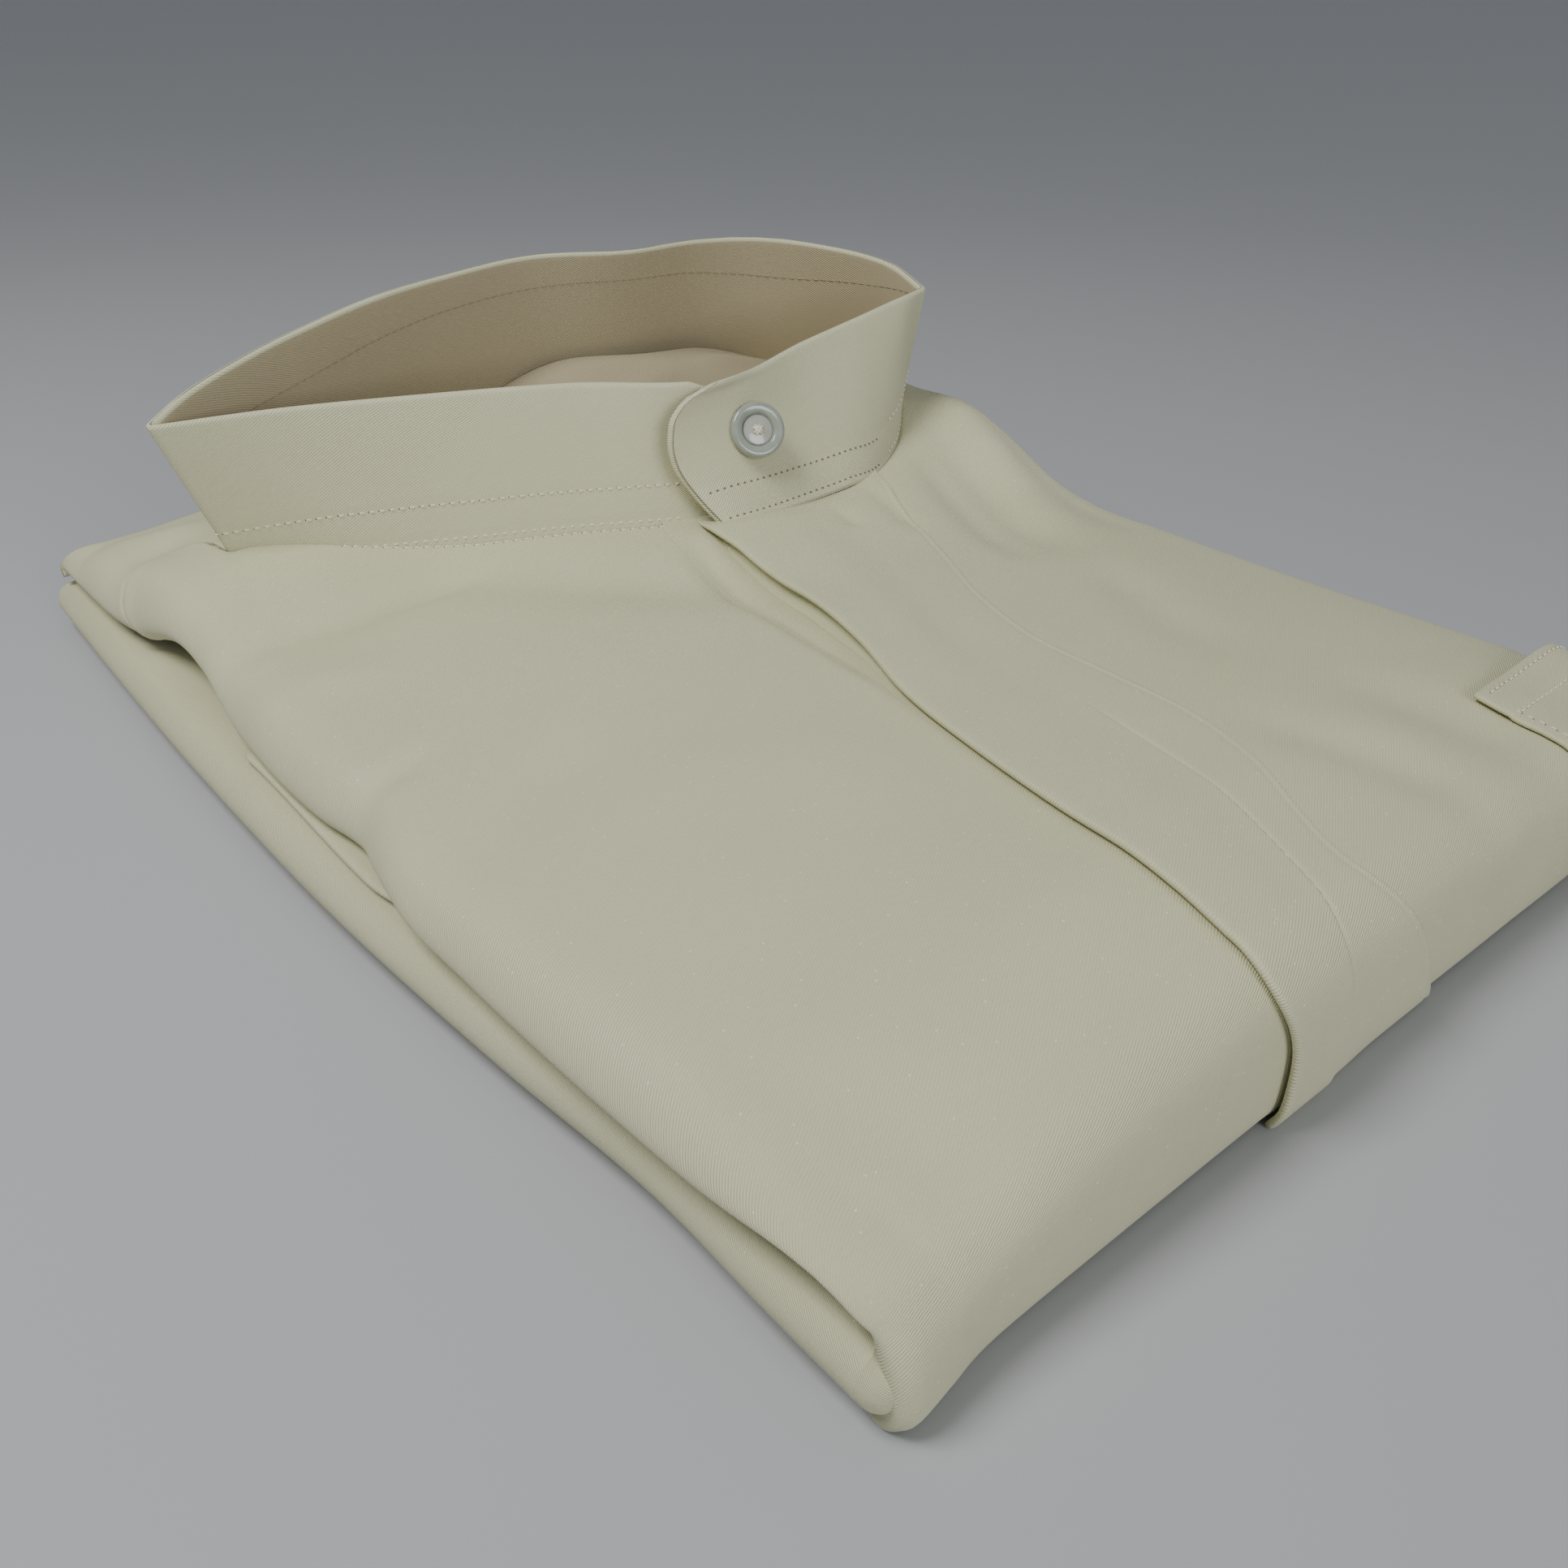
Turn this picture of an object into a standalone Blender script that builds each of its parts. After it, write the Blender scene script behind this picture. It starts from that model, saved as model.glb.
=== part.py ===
# Thobe (thawb), folded flat: collar up, body folded under, seen as it lies on a table.
# X runs across the package towards the wearer's left, Y from the bottom fold to the collar, Z up.
# Every length is in millimetres until a mesh is made, where MM turns it into metres.

import bmesh
import bpy
import numpy as np

MM = 0.001

# Package
LENGTH = 283.0
BOX_CENTRE = (1.6, 142.5)
DOME_FOOT = 23.4
DOME_RISE = 8.0
DOME_HALF_WIDTH = 104.0
DOME_POWER = 2.4
ROLL_FOOT = 13.6
FAR_SLOPE = dict(start=238.0, end=275.0, drop=5.0)
NEAR_SLOPE = dict(start=34.0, end=4.0, drop=3.2)

# Cloth
CLOTH = 1.5
SEAM_GAP = 0.3
CORE_DEPTH = CLOTH + 1.3
NECK_CLOTH = 1.2
GROUND_CLEAR = 0.25

# Collar
COLLAR_WALL = 1.15
COLLAR_SEAT = -CLOTH
LAP_STEP = 3.2
LAP_FRONT = -0.026
LAP_UNDER = 1.042
LAP_FADE = (0.045, 0.12)
NECK_MARGIN = 2.1
CREASE_ROOM = 5.0
CREASE_FRONT = dict(x=79.0, reach=9.0)
CREASE_BACK = dict(x=81.0, reach=5.0)
LAPPED_FROM = (-6.0, -2.5)
LAPPED_TO = (46.0, 66.0)
LEFT_CORNER = dict(room=1.2, reach=6.0)
NECK_BLEND = 1.5
TAB_ROUND = dict(t=0.012, back=0.010, middle=0.4)

# Placket and pocket
PLACKET = 1.5
STRIP = 0.9
STRIP_TUCK = 6.0
TAB_RAISE = CLOTH + PLACKET + 0.5
POCKET = 1.2
POCKET_SIDE = 64.0
POCKET_MOUTH = (24.0, 27.5)
POCKET_GAPE = 2.4

# Button, 19 line
BUTTON_RADIUS = 6.0
BUTTON_THICK = 2.6
BUTTON_DISH = 1.1
SHANK_RADIUS = 1.5
SHANK = 0.8
BUTTON_AT = (0.0255, 0.50)

# Half-width of the top cloth along the package.
EDGE = [
    dict(y=0, left=100.0, right=101.5),
    dict(y=30, left=102.5, right=103.0),
    dict(y=85, left=103.5, right=103.5),
    dict(y=120, left=100.5, right=104.0),
    dict(y=150, left=99.5, right=104.5),
    dict(y=205, left=97.0, right=104.5),
    dict(y=240, left=97.0, right=103.0),
    dict(y=283, left=96.0, right=100.0),
]

# Sections of the three rolled edges: how far in from the edge, and how far down.
SIDE_ROLL = [
    dict(inward=10.0, down=0.0),
    dict(inward=6.2, down=0.8),
    dict(inward=3.2, down=2.5),
    dict(inward=1.1, down=4.9),
    dict(inward=0.0, down=7.4),
    dict(inward=0.5, down=9.2),
]
SIDE_LENGTH = 15.0
FOLD_ROLL = [
    dict(inward=12.0, down=0.0),
    dict(inward=8.0, down=0.03),
    dict(inward=4.6, down=0.09),
    dict(inward=2.1, down=0.18),
    dict(inward=0.6, down=0.31),
    dict(inward=0.0, down=0.48),
    dict(inward=0.3, down=0.68),
    dict(inward=1.3, down=0.86),
    dict(inward=3.2, down=0.965),
]
FOLD_LENGTH = 36.0
FAR_ROLL = [
    dict(inward=12.0, down=0.0),
    dict(inward=7.4, down=1.0),
    dict(inward=3.6, down=3.2),
    dict(inward=1.2, down=6.0),
    dict(inward=0.0, down=8.8),
    dict(inward=0.7, down=10.8),
]
FAR_LENGTH = 18.0
FAR_START = LENGTH - FAR_ROLL[0]["inward"]

# Swellings of the top cloth: middle, reach and rise.
SWELLS = [
    dict(x=96, y=200, x_reach=50, y_reach=50, rise=19.0),
    dict(x=20, y=246, x_reach=75, y_reach=20, rise=13.0),
    dict(x=-92, y=6, x_reach=26, y_reach=26, rise=-3.0),
]

# Soft folds of the top cloth: a line, its half-width and its height (a trough is negative).
FOLDS = [
    dict(x0=-52, y0=196, x1=6, y1=128, width=13, rise=-2.2),
    dict(x0=84, y0=172, x1=62, y1=118, width=9, rise=-3.4),
    dict(x0=66, y0=160, x1=50, y1=112, width=7, rise=-2.0),
    dict(x0=97, y0=186, x1=84, y1=150, width=10, rise=3.0),
    dict(x0=-90, y0=206, x1=-64, y1=172, width=12, rise=-1.6),
    dict(x0=50, y0=40, x1=58, y1=8, width=9, rise=-1.6),
    dict(x0=-70, y0=96, x1=-30, y1=70, width=14, rise=1.2),
    dict(x0=-94, y0=262, x1=-72, y1=236, width=9, rise=1.8),
    dict(x0=94, y0=262, x1=60, y1=254, width=9, rise=1.6),
]

# Collar: foot and top of the band, from the middle of the front round by the right to the left.
COLLAR = [
    dict(name="front", x=11.5, y=175, top_x=17.7, top_y=179, top_z=61.0),
    dict(name="front", x=35, y=168, top_x=45, top_y=183, top_z=64.0),
    dict(name="front", x=53, y=167, top_x=65, top_y=182.5, top_z=67.2),
    dict(name="front", x=67, y=173, top_x=76, top_y=181.5, top_z=69.4),
    dict(name="corner", x=79, y=186, top_x=83.5, top_y=181, top_z=71.0),
    dict(name="back", x=83, y=203, top_x=83.5, top_y=193, top_z=75.0),
    dict(name="back", x=81, y=219, top_x=77.5, top_y=213.5, top_z=77.3),
    dict(name="back", x=73, y=232, top_x=69, top_y=227, top_z=78.0),
    dict(name="back", x=60, y=239, top_x=57, top_y=233.5, top_z=78.0),
    dict(name="back", x=38, y=243, top_x=36, top_y=235, top_z=77.6),
    dict(name="back", x=18, y=247, top_x=15, top_y=243, top_z=78.0),
    dict(name="back", x=-6, y=246, top_x=-9, top_y=243, top_z=76.5),
    dict(name="back", x=-24, y=243, top_x=-27.5, top_y=240, top_z=75.0),
    dict(name="back", x=-41, y=238, top_x=-45, top_y=236, top_z=72.4),
    dict(name="back", x=-56, y=233.5, top_x=-61.5, top_y=232.5, top_z=69.0),
    dict(name="back", x=-67, y=229, top_x=-79, top_y=227, top_z=64.4),
    dict(name="corner", x=-74.7, y=224.5, top_x=-88, top_y=222.5, top_z=61.0),
    dict(name="front", x=-55.5, y=213, top_x=-62.5, top_y=217.5, top_z=61.0),
    dict(name="front", x=-38, y=203, top_x=-37.7, top_y=208.7, top_z=61.0),
    dict(name="front", x=-15, y=190, top_x=-8, top_y=195.7, top_z=61.0),
]

# Placket: its free edge, its sewn edge and how far the strip below shows beside it.
PLACKET_EDGES = [
    dict(b=-24, free=-20.0, sewn=14.5, strip=0.0),
    dict(b=0, free=-23.5, sewn=12.5, strip=0.0),
    dict(b=22, free=-24.0, sewn=6.5, strip=0.0),
    dict(b=45, free=-21.5, sewn=5.5, strip=0.0),
    dict(b=85, free=-15.0, sewn=17.5, strip=1.0),
    dict(b=95, free=-12.5, sewn=21.0, strip=3.0),
    dict(b=124, free=-4.5, sewn=36.5, strip=7.5),
    dict(b=150, free=3.5, sewn=49.5, strip=8.5),
    dict(b=170, free=9.5, sewn=58.0, strip=7.0),
]

# Seam between the front and the yoke, left and right of the collar.
YOKE_SEAM = [
    dict(x=-103, y=229.0),
    dict(x=-97, y=236.0),
    dict(x=-90, y=240.5),
    dict(x=-84, y=240.5),
    dict(x=-79, y=234.0),
    dict(x=-76, y=225.0),
]
YOKE_SEAM_RIGHT = [
    dict(x=84.5, y=198.0),
    dict(x=90, y=203.0),
    dict(x=97, y=207.0),
    dict(x=108, y=206.0),
]

# Rolled layers of the folded body below the top cloth, from the table up.
LAYERS = [
    dict(z=0.0, inward=1.4, near=6.6),
    dict(z=0.9, inward=0.5, near=6.2),
    dict(z=3.4, inward=0.0, near=5.0),
    dict(z=6.6, inward=0.3, near=4.0),
    dict(z=7.6, inward=1.9, near=3.8),
    dict(z=8.4, inward=1.1, near=3.6),
    dict(z=10.4, inward=1.0, near=3.4),
    dict(z=11.7, inward=3.2, near=3.2),
    dict(z=12.0, inward=16.0, near=3.2),
    dict(z=15.0, inward=16.0, near=3.2),
]
LAYER_SPAN = dict(far=288.0, far_corner=6.0, near_corner=2.5)
LAYER_EDGE = [
    dict(y=0, left=101.5, right=101.5),
    dict(y=40, left=101.5, right=101.5),
    dict(y=78, left=103.5, right=102.5),
    dict(y=120, left=105.0, right=103.0),
    dict(y=180, left=104.0, right=103.0),
    dict(y=240, left=101.0, right=101.0),
    dict(y=286, left=98.0, right=98.0),
]

# The folded body's top: shares of its width and length, and where it drops towards its edges.
CORE_ACROSS = [0.08, 0.24, 0.4, 0.55, 0.68, 0.78, 0.86, 0.93, 1.0]
CORE_ALONG = [0, 0.03, 0.07, 0.13, 0.2, 0.28, 0.36, 0.44, 0.52, 0.59, 0.66, 0.72, 0.775, 0.825, 0.87]
CORE_ALONG += [0.91, 0.945, 0.975, 1.0]
CORE_NEAR_SHARE = 0.42
CORE_FAR_SHARE = 0.62
CORE_SIDE_SHARE = 0.3
CORE_EDGE_DROP = 1.2
CORE_DROPS = dict(side=(76.0, 94.0), near=(-14.0, 0.0), far=(258.0, 274.0))
CORE_NAPE = dict(x=60, y=240, x_reach=50, y_reach=18)

# Sleeves, turned under: where each shows along its side, and how far out it reaches.
SLEEVES = [
    dict(name="sleeve_right", side=-1, start=92.0, end=242.0, edge=100.2),
    dict(name="sleeve_left", side=1, start=70.0, end=226.0, edge=100.6),
]
SLEEVE_INNER = 91.0
SLEEVE_LEVEL = 13.5
SLEEVE_HALF = 1.05
SLEEVE_TAPER = dict(start=4.0, start_share=0.22, end=5.5, end_share=0.7)

# Rows along the cloth shared by all the pieces that lie on each other.
FOLD_ROWS = np.linspace(12.0 - FOLD_LENGTH, 12.0, 9)
FIELD_ROWS = np.array([22.0, 33.0, 45.0, 58.0, 72.0, 86.0, 100.0, 114.0, 128.0, 141.0])
FIELD_END = FIELD_ROWS[-1]
SEAM_ROWS = np.array([0.3, 0.62, 0.85, 1.0])
PANEL_SPAN = 59.0
PLACKET_SPAN = 28.0

# Stations across the pieces, closer together where the cloth turns or meets the collar.
RIGHT_STATIONS = [0, 0.045, 0.09, 0.135, 0.205, 0.245, 0.262, 0.30, 0.37, 0.46, 0.55]
RIGHT_STATIONS += [0.64, 0.70, 0.76, 0.82, 0.91, 1.0]
LEFT_STATIONS = [0, 0.07, 0.14, 0.20, 0.28, 0.36, 0.45, 0.54, 0.64, 0.75, 0.87, 1.0]
YOKE_LEFT = [-102, -98, -93.5, -89, -84.5, -80.5, -77.5, -74, -68, -60]
YOKE_RIGHT = [74, 79, 83, 86, 91, 96, 102, 108.5]
YOKE_SETTLE = (225.0, 268.0)

COLOURS = {
    "cloth": (0.63, 0.61, 0.45, 1.0),
    "collar": (0.61, 0.59, 0.43, 1.0),
    "inside": (0.46, 0.39, 0.25, 1.0),
    "button": (0.46, 0.51, 0.50, 1.0),
}


def column(table, name):
    """One named column of a short table."""
    return np.array([row[name] for row in table], float)


def curve(table, at, name, value):
    """Value of a column where another column has the value at, on a smooth curve."""
    xs = column(table, at)
    ys = column(table, name)
    slopes = np.gradient(ys, xs)
    value = np.clip(value, xs[0], xs[-1])
    i = np.clip(np.searchsorted(xs, value) - 1, 0, len(xs) - 2)
    step = xs[i + 1] - xs[i]
    t = (value - xs[i]) / step
    return (
        (2 * t**3 - 3 * t**2 + 1) * ys[i]
        + (t**3 - 2 * t**2 + t) * step * slopes[i]
        + (3 * t**2 - 2 * t**3) * ys[i + 1]
        + (t**3 - t**2) * step * slopes[i + 1]
    )


def roll(table, name, progress):
    """A column of a rolled edge's section, from 0 at its flat start to 1 at its end."""
    values = column(table, name)
    steps = np.linspace(0.0, 1.0, len(values))
    slopes = np.gradient(values, steps)
    beyond = np.maximum(np.asarray(progress, float) - 1.0, 0.0) * slopes[-1]
    progress = np.clip(progress, 0.0, 1.0)
    i = np.clip((progress * (len(values) - 1)).astype(int), 0, len(values) - 2)
    width = 1.0 / (len(values) - 1)
    t = (progress - steps[i]) / width
    return (
        (2 * t**3 - 3 * t**2 + 1) * values[i]
        + (t**3 - 2 * t**2 + t) * width * slopes[i]
        + (3 * t**2 - 2 * t**3) * values[i + 1]
        + (t**3 - t**2) * width * slopes[i + 1]
        + beyond
    )


def ease(value, low, high):
    """0 below low, 1 above high, smooth between."""
    t = np.clip((value - low) / (high - low), 0.0, 1.0)
    return t * t * (3 - 2 * t)


def swelling(x, y, row):
    """1 at a swelling's middle, fading out over its reach."""
    across = (x - row["x"]) / row["x_reach"]
    along = (y - row["y"]) / row["y_reach"]
    return np.exp(-(across**2) - along**2)


def hump(x, middle, reach):
    return np.exp(-(((x - middle) / reach) ** 2))


def soft_fold(x, y, fold):
    """Height that one soft fold adds, fading towards both ends of its line."""
    dx = fold["x1"] - fold["x0"]
    dy = fold["y1"] - fold["y0"]
    length = np.hypot(dx, dy)
    along = ((x - fold["x0"]) * dx + (y - fold["y0"]) * dy) / length
    aside = ((x - fold["x0"]) * dy - (y - fold["y0"]) * dx) / length
    ends = ease(along, -0.2 * length, 0.35 * length) * ease(-along, -1.2 * length, -0.65 * length)
    return fold["rise"] * ends * np.exp(-((aside / fold["width"]) ** 2))


def height(x, y):
    """Height of the top cloth's outer face over the table."""
    across = np.clip(np.abs(x) / DOME_HALF_WIDTH, 0.0, 1.0)
    z = DOME_FOOT + DOME_RISE * (1 - across**DOME_POWER)
    for swell in SWELLS:
        z = z + swell["rise"] * swelling(x, y, swell)
    z = z - FAR_SLOPE["drop"] * ease(y, FAR_SLOPE["start"], FAR_SLOPE["end"])
    z = z - NEAR_SLOPE["drop"] * ease(-y, -NEAR_SLOPE["start"], -NEAR_SLOPE["end"])
    for fold in FOLDS:
        z = z + soft_fold(x, y, fold)
    return z


def half_width(y, side):
    return np.where(side < 0, curve(EDGE, "y", "left", y), curve(EDGE, "y", "right", y))


def surface(a, b):
    """Outer face of the top cloth. a runs across it and b along it, both in cloth millimetres."""
    a = np.asarray(a, float)
    b = np.asarray(b, float)
    near = (FOLD_ROLL[0]["inward"] - b) / FOLD_LENGTH
    far = (b - FAR_START) / FAR_LENGTH
    y = np.where(near > 0, roll(FOLD_ROLL, "inward", near), b)
    y = np.where(far > 0, LENGTH - roll(FAR_ROLL, "inward", far), y)
    edge = half_width(y, a)
    flat = edge - SIDE_ROLL[0]["inward"]
    round_side = (np.abs(a) - flat) / SIDE_LENGTH
    x = np.where(round_side > 0, np.sign(a) * (edge - roll(SIDE_ROLL, "inward", round_side)), a)
    level = height(np.clip(x, -flat, flat), np.clip(y, FOLD_ROLL[0]["inward"], FAR_START))
    drop = np.maximum(roll(SIDE_ROLL, "down", round_side), roll(FAR_ROLL, "down", far))
    level = level - drop * np.clip((level - ROLL_FOOT) / FAR_ROLL[-1]["down"], 0.0, 1.0)
    z = level * (1 - np.where(near > 0, roll(FOLD_ROLL, "down", near), 0.0))
    return np.stack([x, y, z], -1)


def lifted(a, b, out):
    """Points of the top cloth moved out along its normals."""
    step = 0.6
    along_a = surface(a + step, b) - surface(a - step, b)
    along_b = surface(a, b + step) - surface(a, b - step)
    normal = np.cross(along_a, along_b)
    normal /= np.linalg.norm(normal, axis=-1, keepdims=True)
    return surface(a, b) + normal * np.asarray(out, float)[..., None]


def spline_run(rows, keys, count):
    """Points on a smooth curve through a run of collar rows, denser at both ends."""
    points = np.array([[row[key] for key in keys] for row in rows], float)
    knots = np.concatenate([[0], np.cumsum(np.linalg.norm(np.diff(points, axis=0), axis=1))])
    knots /= knots[-1]
    t = 0.5 - 0.5 * np.cos(np.pi * np.linspace(0, 1, count + 1)[:-1])
    t = 0.55 * t + 0.45 * np.linspace(0, 1, count + 1)[:-1]
    tangents = np.gradient(points, knots, axis=0)
    i = np.clip(np.searchsorted(knots, t, side="right") - 1, 0, len(knots) - 2)
    h = (knots[i + 1] - knots[i])[:, None]
    s = ((t - knots[i])[:, None]) / h
    return (
        (2 * s**3 - 3 * s**2 + 1) * points[i]
        + (s**3 - 2 * s**2 + s) * h * tangents[i]
        + (3 * s**2 - 2 * s**3) * points[i + 1]
        + (s**3 - s**2) * h * tangents[i + 1]
    )


def collar_ring(front_count, back_count):
    """Foot and top of the band round the whole neck, as one closed ring that starts at the middle."""
    keys = ["x", "y", "top_x", "top_y", "top_z"]
    right, left = [i for i, row in enumerate(COLLAR) if row["name"] == "corner"]
    front_run = spline_run(COLLAR[left:] + COLLAR[: right + 1], keys, front_count)
    ring = np.concatenate([front_run, spline_run(COLLAR[right : left + 1], keys, back_count)])
    start = np.argmin(np.hypot(ring[:, 0] - COLLAR[0]["x"], ring[:, 1] - COLLAR[0]["y"]))
    return np.roll(ring, -start, axis=0)


def smooth_ring(ring):
    """The ring with its sharp turns rounded, closed by its first row."""
    kernel = np.exp(-(np.linspace(-2, 2, 17) ** 2))
    kernel /= kernel.sum()
    smooth = sum(w * np.roll(ring, 8 - k, axis=0) for k, w in enumerate(kernel))
    return np.concatenate([smooth, smooth[:1]])


RING = smooth_ring(collar_ring(480, 300))


def collar_at(t):
    """Foot, top and outward direction of the band at t, which runs from 0 to 1 round the neck."""
    legs = np.linalg.norm(np.diff(RING[:, :2], axis=0), axis=1)
    knots = np.concatenate([[0], np.cumsum(legs)]) / legs.sum()
    t = np.asarray(t, float) % 1.0
    row = np.stack([np.interp(t, knots, RING[:, k]) for k in range(5)], -1)
    middle = (RING[:, :2] + RING[:, 2:4]) / 2
    step = 0.006
    ahead = np.stack([np.interp((t + step) % 1.0, knots, middle[:, k]) for k in range(2)], -1)
    behind = np.stack([np.interp((t - step) % 1.0, knots, middle[:, k]) for k in range(2)], -1)
    run = ahead - behind
    out = np.stack([run[:, 1], -run[:, 0]], -1)
    out /= np.linalg.norm(out, axis=1, keepdims=True)
    return row, out


def lap(t):
    """How far the band stands out where it laps over itself at the front."""
    return LAP_STEP * (1 - ease(t, *LAP_FADE)) * (t < 0.5)


def band_point(t, up, out):
    """Point on the collar: up is 0 at its seam and 1 at its top edge, out is in millimetres."""
    t = np.asarray(t, float)
    row, normal = collar_at(t)
    foot = np.concatenate([row[:, :2], (height(row[:, 0], row[:, 1]) + COLLAR_SEAT)[:, None]], 1)
    foot[:, 2] += TAB_RAISE * ease(lap(t), 0.2, 1.2)
    point = foot + (row[:, 2:5] - foot) * np.asarray(up, float)[:, None]
    point[:, :2] += normal * (np.asarray(out, float) + lap(t))[:, None]
    return point


def seam_line(front):
    """The collar's seam in plan, front or back, as x and y sorted by x."""
    row, normal = collar_at(np.linspace(0, 1, 400, endpoint=False))
    corners = (int(np.argmax(row[:, 0])), int(np.argmin(row[:, 0])))
    names = np.arange(400)
    back = (names >= corners[0]) & (names <= corners[1])
    pick = ~back if front else back
    order = np.argsort(row[pick, 0])
    return row[pick][order, :2], normal[pick][order]


def crease_places():
    """t of the band's right and left creases."""
    t = np.linspace(0, 1, 2000, endpoint=False)
    row = collar_at(t)[0]
    middle = row[:, 0] + row[:, 2]
    return float(t[np.argmax(middle)]), float(t[np.argmin(middle)])


CREASES = crease_places()
FRONT_SEAM = seam_line(True)
BACK_SEAM = seam_line(False)


def seam_y(seam, x, clear):
    """y of the collar's seam at x, moved clear of the band's wall."""
    points, normals = seam
    y = np.interp(x, points[:, 0], points[:, 1])
    tilt = np.abs(np.interp(x, points[:, 0], normals[:, 1]))
    return y + clear / np.clip(tilt, 0.45, 1.0)


def front_end(a):
    """Where the front's cloth ends: at the collar's seam, or at the yoke beside the collar."""
    lapped = LAP_STEP * ease(a, *LAPPED_FROM) * (1 - ease(a, *LAPPED_TO))
    lapped = lapped + LEFT_CORNER["room"] * hump(a, FRONT_SEAM[0][0, 0], LEFT_CORNER["reach"])
    y = seam_y(FRONT_SEAM, a, -(NECK_MARGIN + lapped))
    left = curve(YOKE_SEAM, "x", "y", a) - SEAM_GAP
    right = curve(YOKE_SEAM_RIGHT, "x", "y", a) - SEAM_GAP
    y = y - CREASE_ROOM * hump(a, CREASE_FRONT["x"], CREASE_FRONT["reach"])
    y = np.where(a < YOKE_SEAM[-1]["x"] - NECK_BLEND, left, y)
    return np.where(a > YOKE_SEAM_RIGHT[0]["x"], right, y)


def yoke_start(a):
    """Where the yoke starts: at the front's seam beside the collar, or behind the band."""
    y = seam_y(BACK_SEAM, a, NECK_MARGIN)
    left = curve(YOKE_SEAM, "x", "y", a) + SEAM_GAP
    right = curve(YOKE_SEAM_RIGHT, "x", "y", a) + SEAM_GAP
    y = y + CREASE_ROOM * hump(a, CREASE_BACK["x"], CREASE_BACK["reach"])
    y = np.where(a < YOKE_SEAM[-1]["x"] - NECK_BLEND, left, y)
    return np.where(a > YOKE_SEAM_RIGHT[0]["x"], right, y)


def make_material(name, colour, roughness):
    material = bpy.data.materials.new(name)
    material.use_nodes = True
    shader = material.node_tree.nodes["Principled BSDF"]
    shader.inputs["Base Color"].default_value = colour
    shader.inputs["Roughness"].default_value = roughness
    shader.inputs["Metallic"].default_value = 0.0
    return material


def make_object(name, points, faces, colour, roughness=0.75):
    """A named object from points in the package's own millimetres."""
    moved = np.array(points, float)
    moved[:, 0] -= BOX_CENTRE[0]
    moved[:, 1] -= BOX_CENTRE[1]
    mesh = bpy.data.meshes.new(name)
    mesh.from_pydata((moved * MM).tolist(), [], faces)
    solid = bmesh.new()
    solid.from_mesh(mesh)
    if solid.calc_volume(signed=True) < 0:
        bmesh.ops.reverse_faces(solid, faces=solid.faces)
    solid.to_mesh(mesh)
    solid.free()
    mesh.shade_smooth()
    mesh.set_sharp_from_angle(angle=0.7)
    piece = bpy.data.objects.new(name, mesh)
    bpy.context.scene.collection.objects.link(piece)
    mesh.materials.append(make_material(name, COLOURS[colour], roughness))
    return piece


def grid_faces(rows, columns, start, flip):
    faces = []
    for i in range(rows - 1):
        for j in range(columns - 1):
            corner = start + i * columns + j
            for face in (
                [corner, corner + 1, corner + columns + 1],
                [corner, corner + columns + 1, corner + columns],
            ):
                faces.append(face[::-1] if flip else face)
    return faces


def rim_loop(rows, columns):
    """Indices round the edge of a grid, in order."""
    near = [j for j in range(columns)]
    right = [i * columns + columns - 1 for i in range(1, rows)]
    far = [(rows - 1) * columns + j for j in range(columns - 2, -1, -1)]
    left = [i * columns for i in range(rows - 2, 0, -1)]
    return near + right + far + left


def sheet(name, outer, inner, colour):
    """A wall of cloth between two grids of points with the same rows and columns."""
    rows, columns = outer.shape[:2]
    count = rows * columns
    points = np.concatenate([outer.reshape(-1, 3), inner.reshape(-1, 3)])
    points[:, 2] = np.maximum(points[:, 2], GROUND_CLEAR)
    faces = grid_faces(rows, columns, 0, False) + grid_faces(rows, columns, count, True)
    loop = rim_loop(rows, columns)
    for k, start in enumerate(loop):
        end = loop[(k + 1) % len(loop)]
        faces.append([start, start + count, end + count, end])
    return make_object(name, points, faces, colour)


def panel_rows(a, end):
    """Rows b for each column: shared rows over the fold and the field, then on to the seam."""
    fixed = np.concatenate([FOLD_ROWS, FIELD_ROWS])
    rows = [np.full_like(a, b) for b in fixed]
    rows += [FIELD_END + (end - FIELD_END) * f for f in SEAM_ROWS]
    return np.array(rows)


def middle_line(b):
    free = curve(PLACKET_EDGES, "b", "free", b)
    sewn = curve(PLACKET_EDGES, "b", "sewn", b)
    return (free + sewn) / 2


def side_reach(b, side):
    """Cloth distance from the middle to the end of the side roll at row b."""
    y = np.clip(b, 0.0, LENGTH)
    return half_width(y, side) - SIDE_ROLL[0]["inward"] + SIDE_LENGTH


def front(name, side, stations):
    """One front panel, from the rolled side edge to the middle line below the placket."""
    b_guess = np.concatenate([FOLD_ROWS, FIELD_ROWS, FIELD_END + PANEL_SPAN * SEAM_ROWS])
    outer_edge = side * side_reach(b_guess, side)
    middle = middle_line(b_guess) + side * SEAM_GAP / 2
    a = outer_edge[:, None] + (middle - outer_edge)[:, None] * np.array(stations)[None, :]
    ends = front_end(a[-1])
    b = panel_rows(a[-1], ends)
    level = np.ones_like(a)
    return sheet(name, lifted(a, b, 0 * level), lifted(a, b, -CLOTH * level), "cloth")


def build_fronts():
    front("front_right", -1, RIGHT_STATIONS)
    front("front_left", 1, LEFT_STATIONS)


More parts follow.
